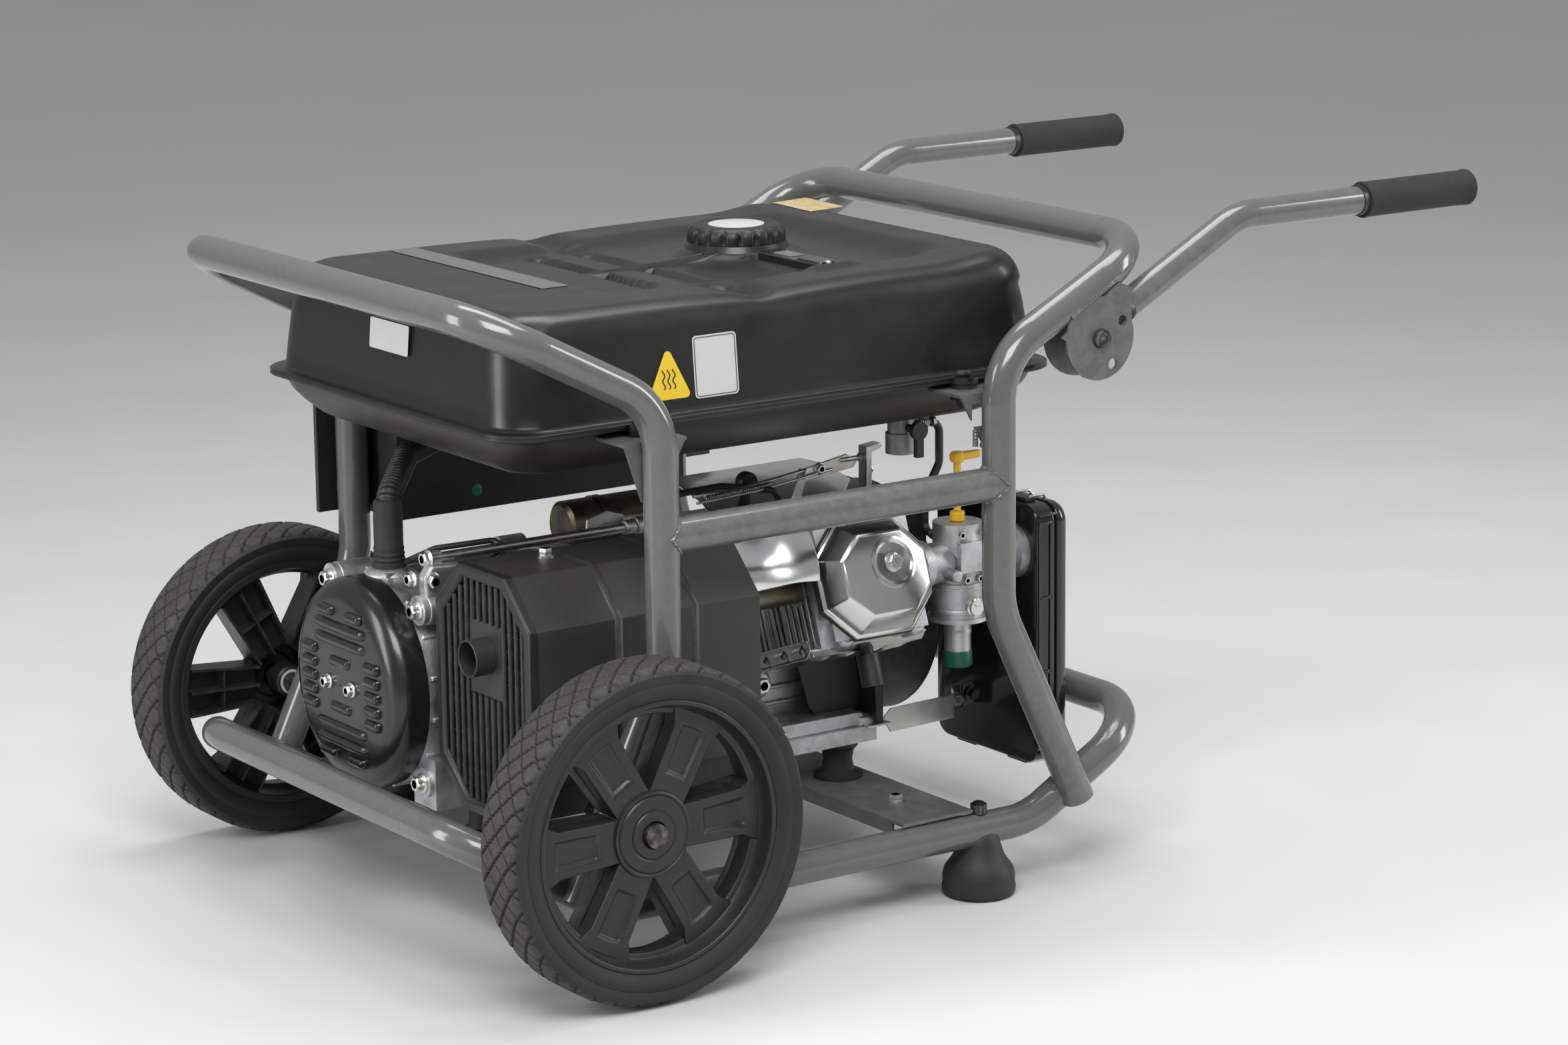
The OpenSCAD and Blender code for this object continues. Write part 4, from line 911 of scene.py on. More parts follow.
gauge = Shape()
gauge.prism([(x + GAUGE_X, y + GAUGE_Y) for x, y in round_rect(-15, 15, -53, 53, 8, 8)], "z", 594, 601.2)
gauge.prism([(x + GAUGE_X, y + GAUGE_Y) for x, y in round_rect(-11, 11, -48, -8, 5, 8)], "z", 600, 602.6)
gauge.build("gauge_housing", "gloss", bevel=1.2, seg=3, slot="gloss_black", replaces=("fuel_gauge",))
lens = Shape()
lens.prism([(x + GAUGE_X, y + GAUGE_Y) for x, y in round_rect(-8.5, 8.5, 4, 34, 3, 6)], "z", 601, 602.0)
lens.build("gauge_window", "grey_label", bevel=0.5)
screw = Shape()
screw.lathe([(3.4, 0), (3.4, 1), (2.4, 1.9), (0.6, 2.0)], (95, -138, 601.2), (0, 0, 1), 32)
screw.build("gauge_screw", "zinc")


def decal(name, mat, corners, lift, columns=24, rows=12, surface=None, soft=0.12):
    """Thin sheet with round corners, following the surface it is stuck on."""
    a, b, d = (Vector(corners[0]), Vector(corners[1]), Vector(corners[2]))
    u, v = b - a, d - a
    normal = u.cross(v).normalized()
    width, height = u.length, v.length
    r = min(width, height) * soft
    s = Shape()
    if surface:
        verts = []
        for j in range(rows + 1):
            for i in range(columns + 1):
                p = a + u * (i / columns) + v * (j / rows)
                verts.append(surface(p) + normal * lift)
        s.add(verts, grid_faces(rows, columns))
        thicken(s.build(name, mat), 0.0002)
        return
    outline = round_rect(0, width, 0, height, r, 6)
    uu, vv = u.normalized(), v.normalized()
    low = [a + uu * x + vv * y + normal * (lift - 0.3) for x, y in outline]
    high = [a + uu * x + vv * y + normal * lift for x, y in outline]
    s.loft([low, high])
    s.build(name, mat)


def on_top(p):
    return Vector((p.x, p.y, top_height(p.x, p.y)))


decal("top_strip", "grey_label", [(-189, 190, 600), (-189, -88, 600), (-160, 190, 600)],
      surface=on_top, columns=80, rows=10, lift=0.5)
decal("end_plate", "pale_label", [(-304.9, 28, 543), (-304.9, -42, 543), (-302.6, 28, 571)], lift=0.6,
      soft=0.08)


decal("far_label", "instruction_label", [(254, 183, 606), (250, 110, 606), (300, 190, 606)],
      surface=on_top, columns=30, rows=16, lift=0.5)


def near_wall(p):
    """Point on the tank's near wall at that x and z."""
    h = p.z - SEAM
    for (z0, i0), (z1, i1) in zip(((4.2, 10.5), (8, 12.0), (20, 13.0), (40, 14.5), (62, 16.5)),
                                  ((8, 12.0), (20, 13.0), (40, 14.5), (62, 16.5), (76, 18.5))):
        if h <= z1 or z1 == 76:
            inset = i0 + (i1 - i0) * (h - z0) / (z1 - z0)
            return Vector((p.x, -TY + inset, p.z))
    return p


def wall_polygon(name, mat, outline, lift):
    """Flat polygon on the near wall, from (x, z) points."""
    s = Shape()
    base = [near_wall(Vector((x, 0, z))) for x, z in outline]
    s.loft([[p + Vector((0, -lift + 0.3, 0)) for p in base], [p + Vector((0, -lift, 0)) for p in base]])
    return s.build(name, mat)


def soft_triangle(cx, z0, w, h, r):
    pts = [(cx - w / 2, z0), (cx + w / 2, z0), (cx, z0 + h)]
    out = []
    for i in range(3):
        p, q, t = (Vector((*pts[i - 1], 0)), Vector((*pts[i], 0)), Vector((*pts[(i + 1) % 3], 0)))
        for v in rounded([p, q, t], r, 12)[1:-1]:
            out.append((v.x, v.y))
    return out


# heat triangle with three plain waves, and a blank noise plate
wall_polygon("heat_triangle_edge", "black_label", soft_triangle(-139.5, 509.5, 54, 55, 5), 0.5)
wall_polygon("heat_triangle", "yellow_label", soft_triangle(-139.5, 511.8, 48, 48.5, 4), 0.75)
wave_marks = Shape()
for k in (-1, 0, 1):
    path = [(-139.5 + k * 5.5 + 1.3 * math.sin(i * 0.65), 0, 521 + i * 1.05) for i in range(18)]
    wave_marks.tube([near_wall(Vector(p)) + Vector((0, -0.8, 0)) for p in path], 0.6, 8)
wave_marks.build("heat_waves", "black_label")
plate = [(x, z) for x, z in round_rect(-112, -64.5, 509, 565.5, 4, 6)]
wall_polygon("noise_plate", "pale_label", plate, 0.6)
frame_line = Shape()
inner = [near_wall(Vector((x, 0, z))) + Vector((0, -0.75, 0))
         for x, z in round_rect(-110.2, -66.3, 510.8, 563.7, 3, 6)]
frame_line.tube(inner + [inner[0]], 0.35, 6)
frame_line.build("noise_plate_line", "black_label")

# ---------- alternator ----------

CRANK_Y, CRANK_Z = 24.0, 228.0
BOLT_OUT = 82
O = Vector((0, CRANK_Y, CRANK_Z))

cover = Shape()
profile = [(99.0, -312), (100, -312.2), (100, -330)]
for k in range(1, 13):
    a = math.radians(90 * k / 12)
    profile.append((78 + 22 * math.cos(a), -330 - 18 * math.sin(a)))
profile += [(60, -349.0), (40, -349.6), (20, -349.9), (1, -350)]
cover.lathe([(r, -h) for r, h in profile], (0, CRANK_Y, CRANK_Z), (-1, 0, 0), 128, cap=False)
cover.build("alternator_cover", "cover", angle=60, slot="black_sheet", replaces=("end_cover",))


def louvre(shape, y, z, length, width=11.0, height=5.0, n=26, m=12):
    """Pressed hood standing out of the cover, long way along Y."""
    verts = []
    for i in range(n + 1):
        u = -1 + 2 * i / n
        taper = max(0.0, 1 - abs(u) ** 9) ** 0.5
        for j in range(m + 1):
            v = -1 + 2 * j / m
            h = height * taper * max(0.0, 1 - abs(v) ** 2.6) ** 0.6
            yy, zz = y + u * length / 2, z + v * width / 2 * (0.55 + 0.45 * taper)
            verts.append((-348.9 - h + 0.5, CRANK_Y + yy, CRANK_Z + zz))
    shape.add(verts, grid_faces(n, m))


hoods = Shape()
for z in (-55, -41, 41, 55):
    louvre(hoods, 0, z, 92)
for s in (-1, 1):
    for k, z in enumerate((-27, -13.5, 0, 13.5, 27)):
        louvre(hoods, s * 58, z, 25)
    louvre(hoods, s * 26, 68.5, 28, 10)
    louvre(hoods, s * 26, -68.5, 28, 10)
louvre(hoods, 0, 22, 36)
louvre(hoods, 0, -22, 36)
hoods.build("cover_louvres", "cover", angle=60, slot="black_sheet")
dimples = Shape()
for s in (-1, 1):
    dimples.lathe([(8.6, -0.4), (8.3, 0.5), (7.0, 0.9), (6.0, 0.2), (5.6, -0.6)],
                  (-349.6, CRANK_Y + s * 22, CRANK_Z), (-1, 0, 0), 40)
dimples.build("cover_seats", "cover")
heads = Shape()
for s in (-1, 1):
    heads.hexagon((-350, CRANK_Y + s * 22, CRANK_Z), (-1, 0, 0), 10, 7)
for a in (-1, 1):
    for b in (-1, 1):
        heads.hexagon((-312.2, CRANK_Y + a * BOLT_OUT, CRANK_Z + b * BOLT_OUT), (-1, 0, 0), 13, 9)
heads.build("alternator_heads", "zinc")

lumps = Shape()
# cast ribs and bosses between the cover and the exhaust shield
for a in (-1, 1):
    for b in (-1, 1):
        lumps.lathe([(14.6, 0), (14.6, 34), (12.5, 37), (9, 38)],
                    (-306, CRANK_Y + a * BOLT_OUT, CRANK_Z + b * BOLT_OUT), (1, 0, 0), 40)
for k in range(16):
    a = math.radians(22.5 * k + 11)
    d = Vector((0, math.cos(a), math.sin(a)))
    p = O + d * 98
    side = Vector((1, 0, 0)).cross(d)
    corners = [p + side * 2.2, p - side * 2.2, p - side * 2.2 + d * 4.5, p + side * 2.2 + d * 4.5]
    lumps.loft([[c + Vector((-309, 0, 0)) for c in corners], [c + Vector((-270, 0, 0)) for c in corners]])
lumps.lathe([(23, 0), (23, 4), (20, 8), (16, 10)], (-294, CRANK_Y, CRANK_Z + 96), (0, 0, 1), 40)
lumps.build("bracket_ribs", "cast", bevel=1.2, seg=3, slot="casting")
gusset = Shape()
gusset.prism([(-306, 318), (-272, 318), (-262, 336), (-268, 350), (-300, 352), (-308, 340)], "y", -66, -52)
gusset.build("bracket_lug", "cast", bevel=2.5, seg=3, slot="casting")
lug_bolts = Shape()
lug_bolts.hexagon((-300, -66, 338), (0, -1, 0), 11, 7)
lug_bolts.hexagon((-309, -46, 337), (-1, 0, 0), 11, 7)
lug_bolts.build("lug_bolts", "zinc")
# windings seen through the bracket
turns = Shape()
for k in range(9):
    turns.lathe([(63.5 + k * 2.2, 0), (64.3 + k * 2.2, 1.4), (65.1 + k * 2.2, 0)],
                (-281 - 1.5, CRANK_Y, CRANK_Z), (-1, 0, 0), 96, cap=False)
turns.build("winding_ends", "copper")

# long plated tie rod above the exhaust shield, with its sleeve
TIE_Y, TIE_Z = -54, 356
rod = Shape()
rod.rod((-296, TIE_Y, TIE_Z), (-84, TIE_Y, TIE_Z), 4.6)
rod.hexagon((-296, TIE_Y, TIE_Z), (-1, 0, 0), 12, 8)
rod.build("tie_rod", "zinc")
sleeve = Shape()
sleeve.rod((-84, TIE_Y, TIE_Z), (-72, TIE_Y, TIE_Z), 7)
sleeve.rod((-72, TIE_Y, TIE_Z), (-40, TIE_Y, TIE_Z), 8.5)
sleeve.prism([(-120, 348), (-74, 348), (-78, 366), (-96, 372), (-118, 366)], "y", -44, -41)
sleeve.prism([(-296, 330), (-284, 330), (-284, 362), (-296, 362)], "y", -58, -50)
sleeve.prism([(-52, 300), (-44, 300), (-44, 360), (-52, 360)], "y", -58, -50)
sleeve.build("tie_rod_lugs", "cast", bevel=1.0, slot="casting")

# ---------- exhaust ----------

MY, MZ = -165.0, 252.0
shield = Shape()
outer, inner_ring = octagon(MY, MZ, 82, 115, 42), octagon(MY, MZ, 80.5, 113.5, 41.5)


def ring_at(pts, x):
    return [Vector((x, y, z)) for y, z in pts]


shield.loft([ring_at(inner_ring, -299), ring_at(outer, -299), ring_at(outer, -61), ring_at(inner_ring, -61)],
            cap=False)
shield.loft([ring_at(inner_ring, -61), ring_at(inner_ring, -299)], cap=False)
hole = circle(MY + 14, 292, 30, 8, math.radians(-112.5))
shield.loft([ring_at(inner_ring, -61.5), ring_at(hole, -61.5)], cap=False)
shield.build("heat_shield", "shield", bevel=9.0, seg=5, angle=40, slot="black_sheet",
             replaces=("muffler_shield",))
marks = Shape()
# shallow pressed ribs round the shield
for x in (-214, -132):
    a, b = octagon(MY, MZ, 82.9, 115.9, 42.3), octagon(MY, MZ, 81.6, 114.6, 41.9)
    marks.loft([ring_at(b, x - 5), ring_at(a, x - 2), ring_at(a, x + 2), ring_at(b, x + 5)], cap=False)
marks.build("shield_ribs", "shield", angle=70, slot="black_sheet")
shield_bolts = Shape()
for p, d in (((-231, -152, 367), (0, 0, 1)), ((-84, -247, 226), (0, -1, 0)), ((-252, -247, 214), (0, -1, 0))):
    shield_bolts.hexagon(p, d, 11, 8)
shield_bolts.build("shield_bolts", "zinc")

grille = Shape()
fo, fi = octagon(MY, MZ, 82.5, 115.5, 42), octagon(MY, MZ, 70, 103, 37)
grille.loft([ring_at(fo, -299), ring_at(fo, -307), ring_at(octagon(MY, MZ, 80, 113, 41), -308.5),
             ring_at(octagon(MY, MZ, 73, 106, 38), -308.5), ring_at(fi, -306), ring_at(fi, -299)],
            cap=False)
grille.build("grille_rim", "plastic", bevel=1.0, seg=3, replaces=("muffler_grille",))


def inside_octagon(y):
    """Half height of the grille opening at that distance from its middle."""
    return 103 - max(0.0, abs(y) - (70 - 37))


bars = Shape()
for i in range(-6, 7):
    y = 10.6 * i
    h = inside_octagon(y) + 1
    pieces = [(-h, h)]
    if abs(y) < 30:
        pieces = [(-h, -2), (66, h)]
    for z0, z1 in pieces:
        bars.tube([(-303.5, MY + y, MZ + z0), (-303.5, MY + y, MZ + z1)], 2.5, 10)
for k in range(-6, 7):
    z = 15.4 * k
    w = 70 - max(0.0, abs(z) - (103 - 37)) + 1
    spans = [(-w, -30), (30, w)] if 0 <= z <= 62 else [(-w, w)]
    for y0, y1 in spans:
        bars.tube([(-301.2, MY + y0, MZ + z), (-301.2, MY + y1, MZ + z)], 1.5, 8)
bars.build("grille_bars", "plastic")
blank = Shape()
blank.prism([(MY - 31, MZ - 3), (MY + 31, MZ - 3), (MY + 31, MZ + 67), (MY - 31, MZ + 67)], "x", -303, -300.5)
blank.build("outlet_panel", "shield", bevel=1.0)
stub = Shape()
stub.lathe([(15.4, 0), (15.4, 33), (16.2, 34), (17.2, 33.4), (17.2, 0)], (-290, MY, 288), (-1, 0, 0), 64,
           cap=False)
stub.build("outlet_tube", "shield", slot="muffler_steel")

# ---------- engine ----------

TILT = math.radians(20)
ENGINE = (Matrix.Translation(O) @ Matrix.Rotation(-TILT, 4, "X") @ Matrix.Diagonal((1, -1, 1, 1)))
CX = 104.0
# in this frame Y runs out along the cylinder and Z is up across it


def slab(pts, y):
    return [Vector((CX + x, y, z)) for x, z in pts]


rocker = Shape(ENGINE)
rocker.loft([slab(oct2(62, 54, 31), 229.4), slab(oct2(64, 56, 32), 230), slab(oct2(64, 56, 32), 233),
             slab(oct2(60, 52, 29), 235), slab(oct2(58, 50, 28), 241), slab(oct2(56, 48, 27), 243.5),
             slab(oct2(49, 41, 23), 255), slab(oct2(46, 38, 22), 257.5), slab(oct2(44, 36, 21), 258)])
rocker.build("rocker_shell", "rocker", bevel=3.2, seg=4, angle=50, slot="zinc",
             replaces=("rocker_cover",))
gasket = Shape(ENGINE)
gasket.loft([slab(oct2(65, 57, 32), 227.6), slab(oct2(65.4, 57.4, 32.2), 228.6),
             slab(oct2(65, 57, 32), 229.8)])
gasket.build("rocker_gasket", "rubber")
dish = Shape(ENGINE)
dish.lathe([(25, 0), (24.5, 1.0), (22, 1.6), (19.5, 0.6), (17, -1.2), (13, -1.6), (10.5, -1.2), (9.5, 0.2),
            (9, 0.4), (1, 0.4)], (CX + 9, 258, 9), (0, 1, 0), 72)
dish.build("rocker_dish", "rocker")
nut = Shape(ENGINE)
nut.hexagon((CX + 9, 257.8, 9), (0, 1, 0), 12, 8)
nut.build("rocker_bolt", "zinc")

fins = Shape(ENGINE)
barrel, head_fin = round_rect(-58, 58, -60, 58, 16, 6), round_rect(-60.5, 60.5, -58.5, 58.5, 12, 6)
for outline, count, first, step, thick in ((barrel, 8, 96, 8.0, 2.6), (head_fin, 5, 162, 9.5, 2.8)):
    for i in range(count):
        y = first + step * i
        fins.loft([slab(outline, y), slab(outline, y + thick)])
fins.build("cooling_fins", "cast", bevel=0.7, slot="casting")
head_box = Shape(ENGINE)
head_box.loft([slab(oct2(57, 53, 20), 208), slab(oct2(62, 55, 28), 226), slab(oct2(62, 55, 30), 228)])
for x in (-38, 44):
    head_box.lathe([(11, 0), (11, 30), (8, 34)], (CX + x, 192, -50), (0, 1, 0), 32)
head_box.build("head_casting", "cast", bevel=2.0, seg=3, slot="casting")

# embossed plated sheet under the cylinder
tray = Shape(ENGINE)
n, m = 96, 60
verts = []
for j in range(m + 1):
    y = 100 + 106 * j / m
    for i in range(n + 1):
        x = -70 + 136 * i / n
        z = -63.5
        inside = step_between(y, 128, 133) * (1 - step_between(y, 186, 192))
        z -= 3.2 * inside * max(bell(x, c, 7.0) ** 0.5 for c in (-46, -16, 14, 44))
        if y > 198:
            z += (y - 198) * 0.9
        verts.append((CX + x, y, z))
tray.add(verts, grid_faces(m, n))
n = 84
verts = []
for j in range(9):
    z = -63.5 + 16.5 * j / 8
    for i in range(n + 1):
        y = 100 + 106 * i / n
        wave = max(step_between(y, c - 11, c - 7) * (1 - step_between(y, c + 7, c + 11))
                   for c in (122, 154, 186))
        verts.append((CX - 66 - 0.6 * j - 4.5 * wave * math.sin(math.pi * min(1, j / 6)), y, z))
tray.add(verts, grid_faces(8, n))
o = tray.build("cylinder_tray", "rocker", angle=60, slot="zinc", replaces=("engine_shrouds",))
thicken(o, 0.0014)
top_sheet = Shape(ENGINE)
top_sheet.loft([[Vector((x, y, z)) for x, z in [(34, 61), (34, 63), (166, 63), (166, 61)]]
                for y in (98, 204)])
top_sheet.loft([[Vector((34, 98, 62)), Vector((166, 98, 62)), Vector((166, 98, 63)), Vector((34, 98, 63))],
                [Vector((34, 60, 70)), Vector((150, 60, 70)), Vector((150, 60, 71)), Vector((34, 60, 71))]])
top_sheet.build("cylinder_sheet", "mirror", bevel=0.6, slot="zinc")

# bright crumpled heat sheet between the exhaust and the rocker cover
heat = Shape()
n, m = 70, 40
verts = []
for j in range(m + 1):
    t = j / m
    for i in range(n + 1):
        s = i / n
        x = -52 + 90 * s
        z = 314 + 52 * t
        fold = 2.6 * math.sin(5.2 * s + 2.1 * t) + 1.0 * math.sin(8 * s - 5 * t + 1) * t + math.sin(6 * t + s)
        y = -203 + 26 * t * t - fold
        verts.append((x, y, z + 3 * math.sin(3 * s)))
heat.add(verts, grid_faces(m, n))
o = heat.build("heat_sheet", "mirror", angle=60, slot="zinc")
thicken(o, 0.001)

# crankcase details on the near side
case = Shape()
case.box(44, 164, -66, -62, 146, 300)
for z in (160, 176, 192):
    case.box(46, 162, -70, -64, z, z + 4)
case.lathe([(15, 0), (15, 12), (12, 15), (7, 15), (6, 12)], (52, -64, 186), (0, -1, 0), 40)
case.lathe([(13, 0), (13, 9), (11, 12), (8, 12)], (40, -64, 212), (0, -1, 0), 40)
case.prism([(44, 136), (164, 136), (150, 150), (58, 150)], "y", -110, -64)
for x in (52, 156):
    case.lathe([(16, 0), (15, 8), (9, 10)], (x, -100, 136), (0, 0, 1), 32)
case.build("crankcase_near", "cast", bevel=2.2, seg=3, slot="casting")
case_bolts = Shape()
for x, y in ((132, -95), (56, -98), (132, 125)):
    case_bolts.hexagon((x, y, 136), (0, 0, 1), 13, 9)
case_bolts.hexagon((52, -79, 186), (0, -1, 0), 14, 8)
case_bolts.build("case_bolts", "zinc")
duct = Shape()
duct.prism([(84, 214), (150, 236), (164, 170), (160, 140), (126, 132), (100, 158)], "y", -93, -91)
duct.prism([(150, 236), (168, 232), (168, 140), (160, 140), (158, 180)], "y", -122, -90)
duct.build("air_duct", "sheet", bevel=1.5, seg=3, slot="black_sheet")

# governor arm, bracket, rod and spring above the fan housing
gov = Shape()
gov.tube(rounded([(-9, -60, 377), (30, -60, 376), (84, -60, 381), (140, -60, 388)], 40), 2.0, 12)
gov.tube(rounded([(-9, -66, 371), (60, -66, 374), (150, -66, 384)], 40), 1.4, 12)
gov.prism([(118, 376), (176, 382), (182, 390), (168, 396), (120, 388)], "y", -64, -61)
gov.prism([(186, 344), (192, 344), (192, 396), (204, 400), (204, 404), (186, 402)], "y", -72, -58)
gov.rod((160, -64, 391), (196, -64, 391), 2.4)
gov.hexagon((182, -64, 391), (1, 0, 0), 8, 6, washer=False)
gov.hexagon((135, -64, 386), (0, -1, 0), 9, 5)
gov.hexagon((192, -64, 378), (1, 0, 0), 8, 5)
gov.prism([(100, 344), (112, 344), (124, 384), (116, 388)], "y", -60, -57)
gov.build("governor_parts", "zinc", bevel=0.5, slot="zinc")
spring = Shape()
coil = []
for i in range(1100):
    t = i / 1099
    a = t * 34 * 2 * math.pi
    coil.append((4 + 74 * t, -63 + 2.6 * math.cos(a), 373.5 + 4 * t + 2.6 * math.sin(a)))
spring.tube(coil, 0.6, 6)
spring.build("governor_spring", "steel")
loop = Shape()
loop.prism([(62, 352), (66, 352), (66, 374), (62, 378)], "y", -46, -34)
loop.lathe([(9, -6), (10, -4), (10, 4), (9, 6)], (66, -40, 378), (0, 1, 0), 32)
loop.build("cable_clip", "hose")

top_plate = Shape()
top_plate.loft([[Vector((x0, y, z)), Vector((x1, y, z)), Vector((x1, y, z + 1.4)), Vector((x0, y, z + 1.4))]
                for x0, x1, y, z in ((14, 158, -66, 347), (20, 196, -30, 361), (26, 200, 18, 368),
                                     (30, 200, 62, 366), (34, 196, 70, 350))])
top_plate.build("governor_plate", "mirror", bevel=0.5, slot="zinc")

# strap from the crankcase to the air box
strap = Shape()
strap.loft([[Vector((x, y, z)), Vector((x, y, z + h)), Vector((x, y + 2, z + h)), Vector((x, y + 2, z))]
            for x, y, z, h in ((164, -112, 136, 3), (176, -112, 137, 3), (184, -112, 124, 24),
                               (262, -112, 126, 24), (268, -104, 126, 24), (276, -90, 126, 24),
                               (287, -88, 126, 24))])
strap.box(148, 176, -124, -100, 136.2, 138.4)
strap.build("air_box_strap", "zinc", bevel=0.7, slot="zinc")
strap_bolts = Shape()
strap_bolts.hexagon((278, -90, 138), (-0.1, -1, 0), 11, 8)
strap_bolts.build("strap_bolts", "zinc")

# oil plug on the far side, and the drum behind the exhaust
plug = Shape()
plug.lathe([(16, 0), (16, 6), (20, 8), (20, 16), (18, 18), (1, 18)], (150, 112, 190), (0, 1, 0), 48)
plug.build("oil_plug", "plastic")
drum = Shape()
drum.lathe([(20, 0), (24, 3), (24, 88), (22, 92), (1, 93)], (-96, 40, 342), (1, 0, 0), 64)
drum.lathe([(25.2, 0), (25.2, 8)], (-60, 40, 342), (1, 0, 0), 64, cap=False)
drum.build("starter_drum", "hot")

# rolled rims and screws of the fan housing, and the recoil grip
recoil = Shape()
recoil.lathe([(115, 0), (116.5, 1.5), (115.5, 4), (111, 4.6), (104, 3.2)], (256, CRANK_Y, CRANK_Z), (1, 0, 0),
             128, cap=False)
recoil.lathe([(84, 0), (84, 20), (82, 24.6), (78, 26.4), (70, 26.6)], (259, CRANK_Y, CRANK_Z), (1, 0, 0), 128,
             cap=False)
recoil.build("recoil_rim", "sheet", angle=50, slot="black_sheet")
screws = Shape()
for k in range(6):
    a = math.radians(60 * k + 12)
    screws.hexagon((259.5, CRANK_Y + 98 * math.cos(a), CRANK_Z + 98 * math.sin(a)), (1, 0, 0), 9, 6)
screws.build("recoil_screws", "zinc")
GRIP_Y, GRIP_Z = CRANK_Y + 40, CRANK_Z + 60
knob = Shape()
knob.lathe([(6, -34), (9, -32), (10, -26), (9, -12), (8.4, 0), (9, 12), (10, 26), (9, 32), (6, 34)],
           (299, GRIP_Y, GRIP_Z), (0, 1, 0), 40)
knob.lathe([(7.4, 0), (6.6, 8), (6, 13)], (285.6, GRIP_Y, GRIP_Z), (1, 0, 0), 32)
knob.rod((262, GRIP_Y, GRIP_Z), (296, GRIP_Y, GRIP_Z), 3)
knob.build("starter_grip", "plastic", "pull", slot="black_plastic", replaces=("pull_handle",))


# ---------- carburettor side ----------

CARB_X, CY = 220, -172.9
carb = Shape()
carb.lathe([(26.6, 0), (27.4, 1), (27.4, 4), (26.6, 5)], (CARB_X, CY, 254), (0, 0, 1), 64, cap=False)
carb.lathe([(26.7, 0), (27.2, 1), (26.7, 2)], (CARB_X, CY, 278), (0, 0, 1), 64, cap=False)
carb.lathe([(13.6, 0), (13.6, 3), (13.2, 4)], (CARB_X, CY, 232), (0, 0, 1), 40, cap=False)
for x, y in ((196, -163), (244, -163), (196, -183), (244, -183)):
    carb.lathe([(6, 0), (6, 22), (4.5, 24)], (x, y, 296), (0, -1 if y < -172 else 1, 0), 24)
carb.box(204, 236, CY - 27, CY - 20, 296, 326)
carb.rod((250, CY - 12, 296), (262, CY - 30, 296), 4)
carb.build("carburettor_bands", "cast", bevel=0.8, seg=3, slot="casting")
solenoid = Shape()
solenoid.lathe([(13.3, 0), (14.2, 1.5), (14.2, 14), (13.3, 16)], (CARB_X, CY, 199), (0, 0, 1), 48, cap=True)
solenoid.build("solenoid_cap", "cap_green")
screws = Shape()
for x, z in ((206, 334), (234, 334), (212, 289), (228, 289)):
    screws.hexagon((x, CY - 24.5, z), (0, -1, 0), 7, 3.2, washer=False)
screws.lathe([(5, 0), (5, 7), (4, 8), (1, 8)], (220, CY - 25, 268), (0, -1, 0), 24)
screws.lathe([(9, 0), (9, 4), (7.5, 5), (7.5, 8)], (220, CY - 24, 262), (0, -1, 0), 32)
screws.rod((232, CY - 26, 316), (252, CY - 26, 322), 1.8)
screws.build("carburettor_screws", "zinc")
lever = Shape()
lever.prism([(214, -168), (214, -178), (226, -178), (240, -176.5), (247, -174.5), (247, -169.5), (226, -167)],
            "z", 401.6, 408.4)
lever.prism([(221, 362), (246.5, 362), (246.5, 368), (240, 370.3), (221, 370.3)], "y", CY - 3.4, CY + 3.4)
lever.lathe([(7.4, 0), (7.4, 8.4), (6, 9.2)], (CARB_X, CY, 342.6), (0, 0, 1), 40)
lever.lathe([(3.6, 0), (3.6, 50)], (CARB_X, CY, 352), (0, 0, 1), 32)
lever.lathe([(6.4, 0), (6.4, 9), (5, 10)], (CARB_X, CY, 400), (0, 0, 1), 32)
lever.build("choke_arm", "yellow", "choke", bevel=0.9, seg=3, replaces=("choke_lever",), slot="choke_yellow")

# fuel tap
TAP_X, TAP_Y = 192, -120
tapb = Shape()
tapb.hexagon((TAP_X, TAP_Y, 449), (0, 0, 1), 24, 9, washer=False)
tapb.lathe([(15.6, 0), (15.6, 3), (14, 5)], (TAP_X, TAP_Y, 461), (0, 0, -1), 48)
tapb.lathe([(9, 0), (10.6, 1), (10.6, 4), (9.4, 5)], (TAP_X, TAP_Y, 409), (0, 0, 1), 48)
for k in range(5):
    tapb.lathe([(5.6, 0), (6.3, 0.8), (5.6, 1.6)], (212 + 2.2 * k, -120, 430), (1, 0, 0), 24, cap=False)
tapb.build("tap_collars", "cast", bevel=0.5, slot="casting")
clips = Shape()
for c, d in (((228, -120, 430), (1, 0, 0)), ((220, -137, 322), (0, 1, 0))):
    clips.lathe([(4.1, 0), (5.2, 0.2), (5.2, 3.8), (4.1, 4)], c, d, 32, cap=False)
clips.build("hose_clips", "steel")

# ---------- air box ----------

Y0, Y1, Z0, Z1 = -211.0, -47.0, 93.0, 353.0
filt = Shape()


def rect_ring(x, inset, r=18):
    pts = round_rect(Y0 + inset, Y1 - inset, Z0 + inset, Z1 - inset, r, 8)
    return [Vector((x, y, z)) for y, z in pts]


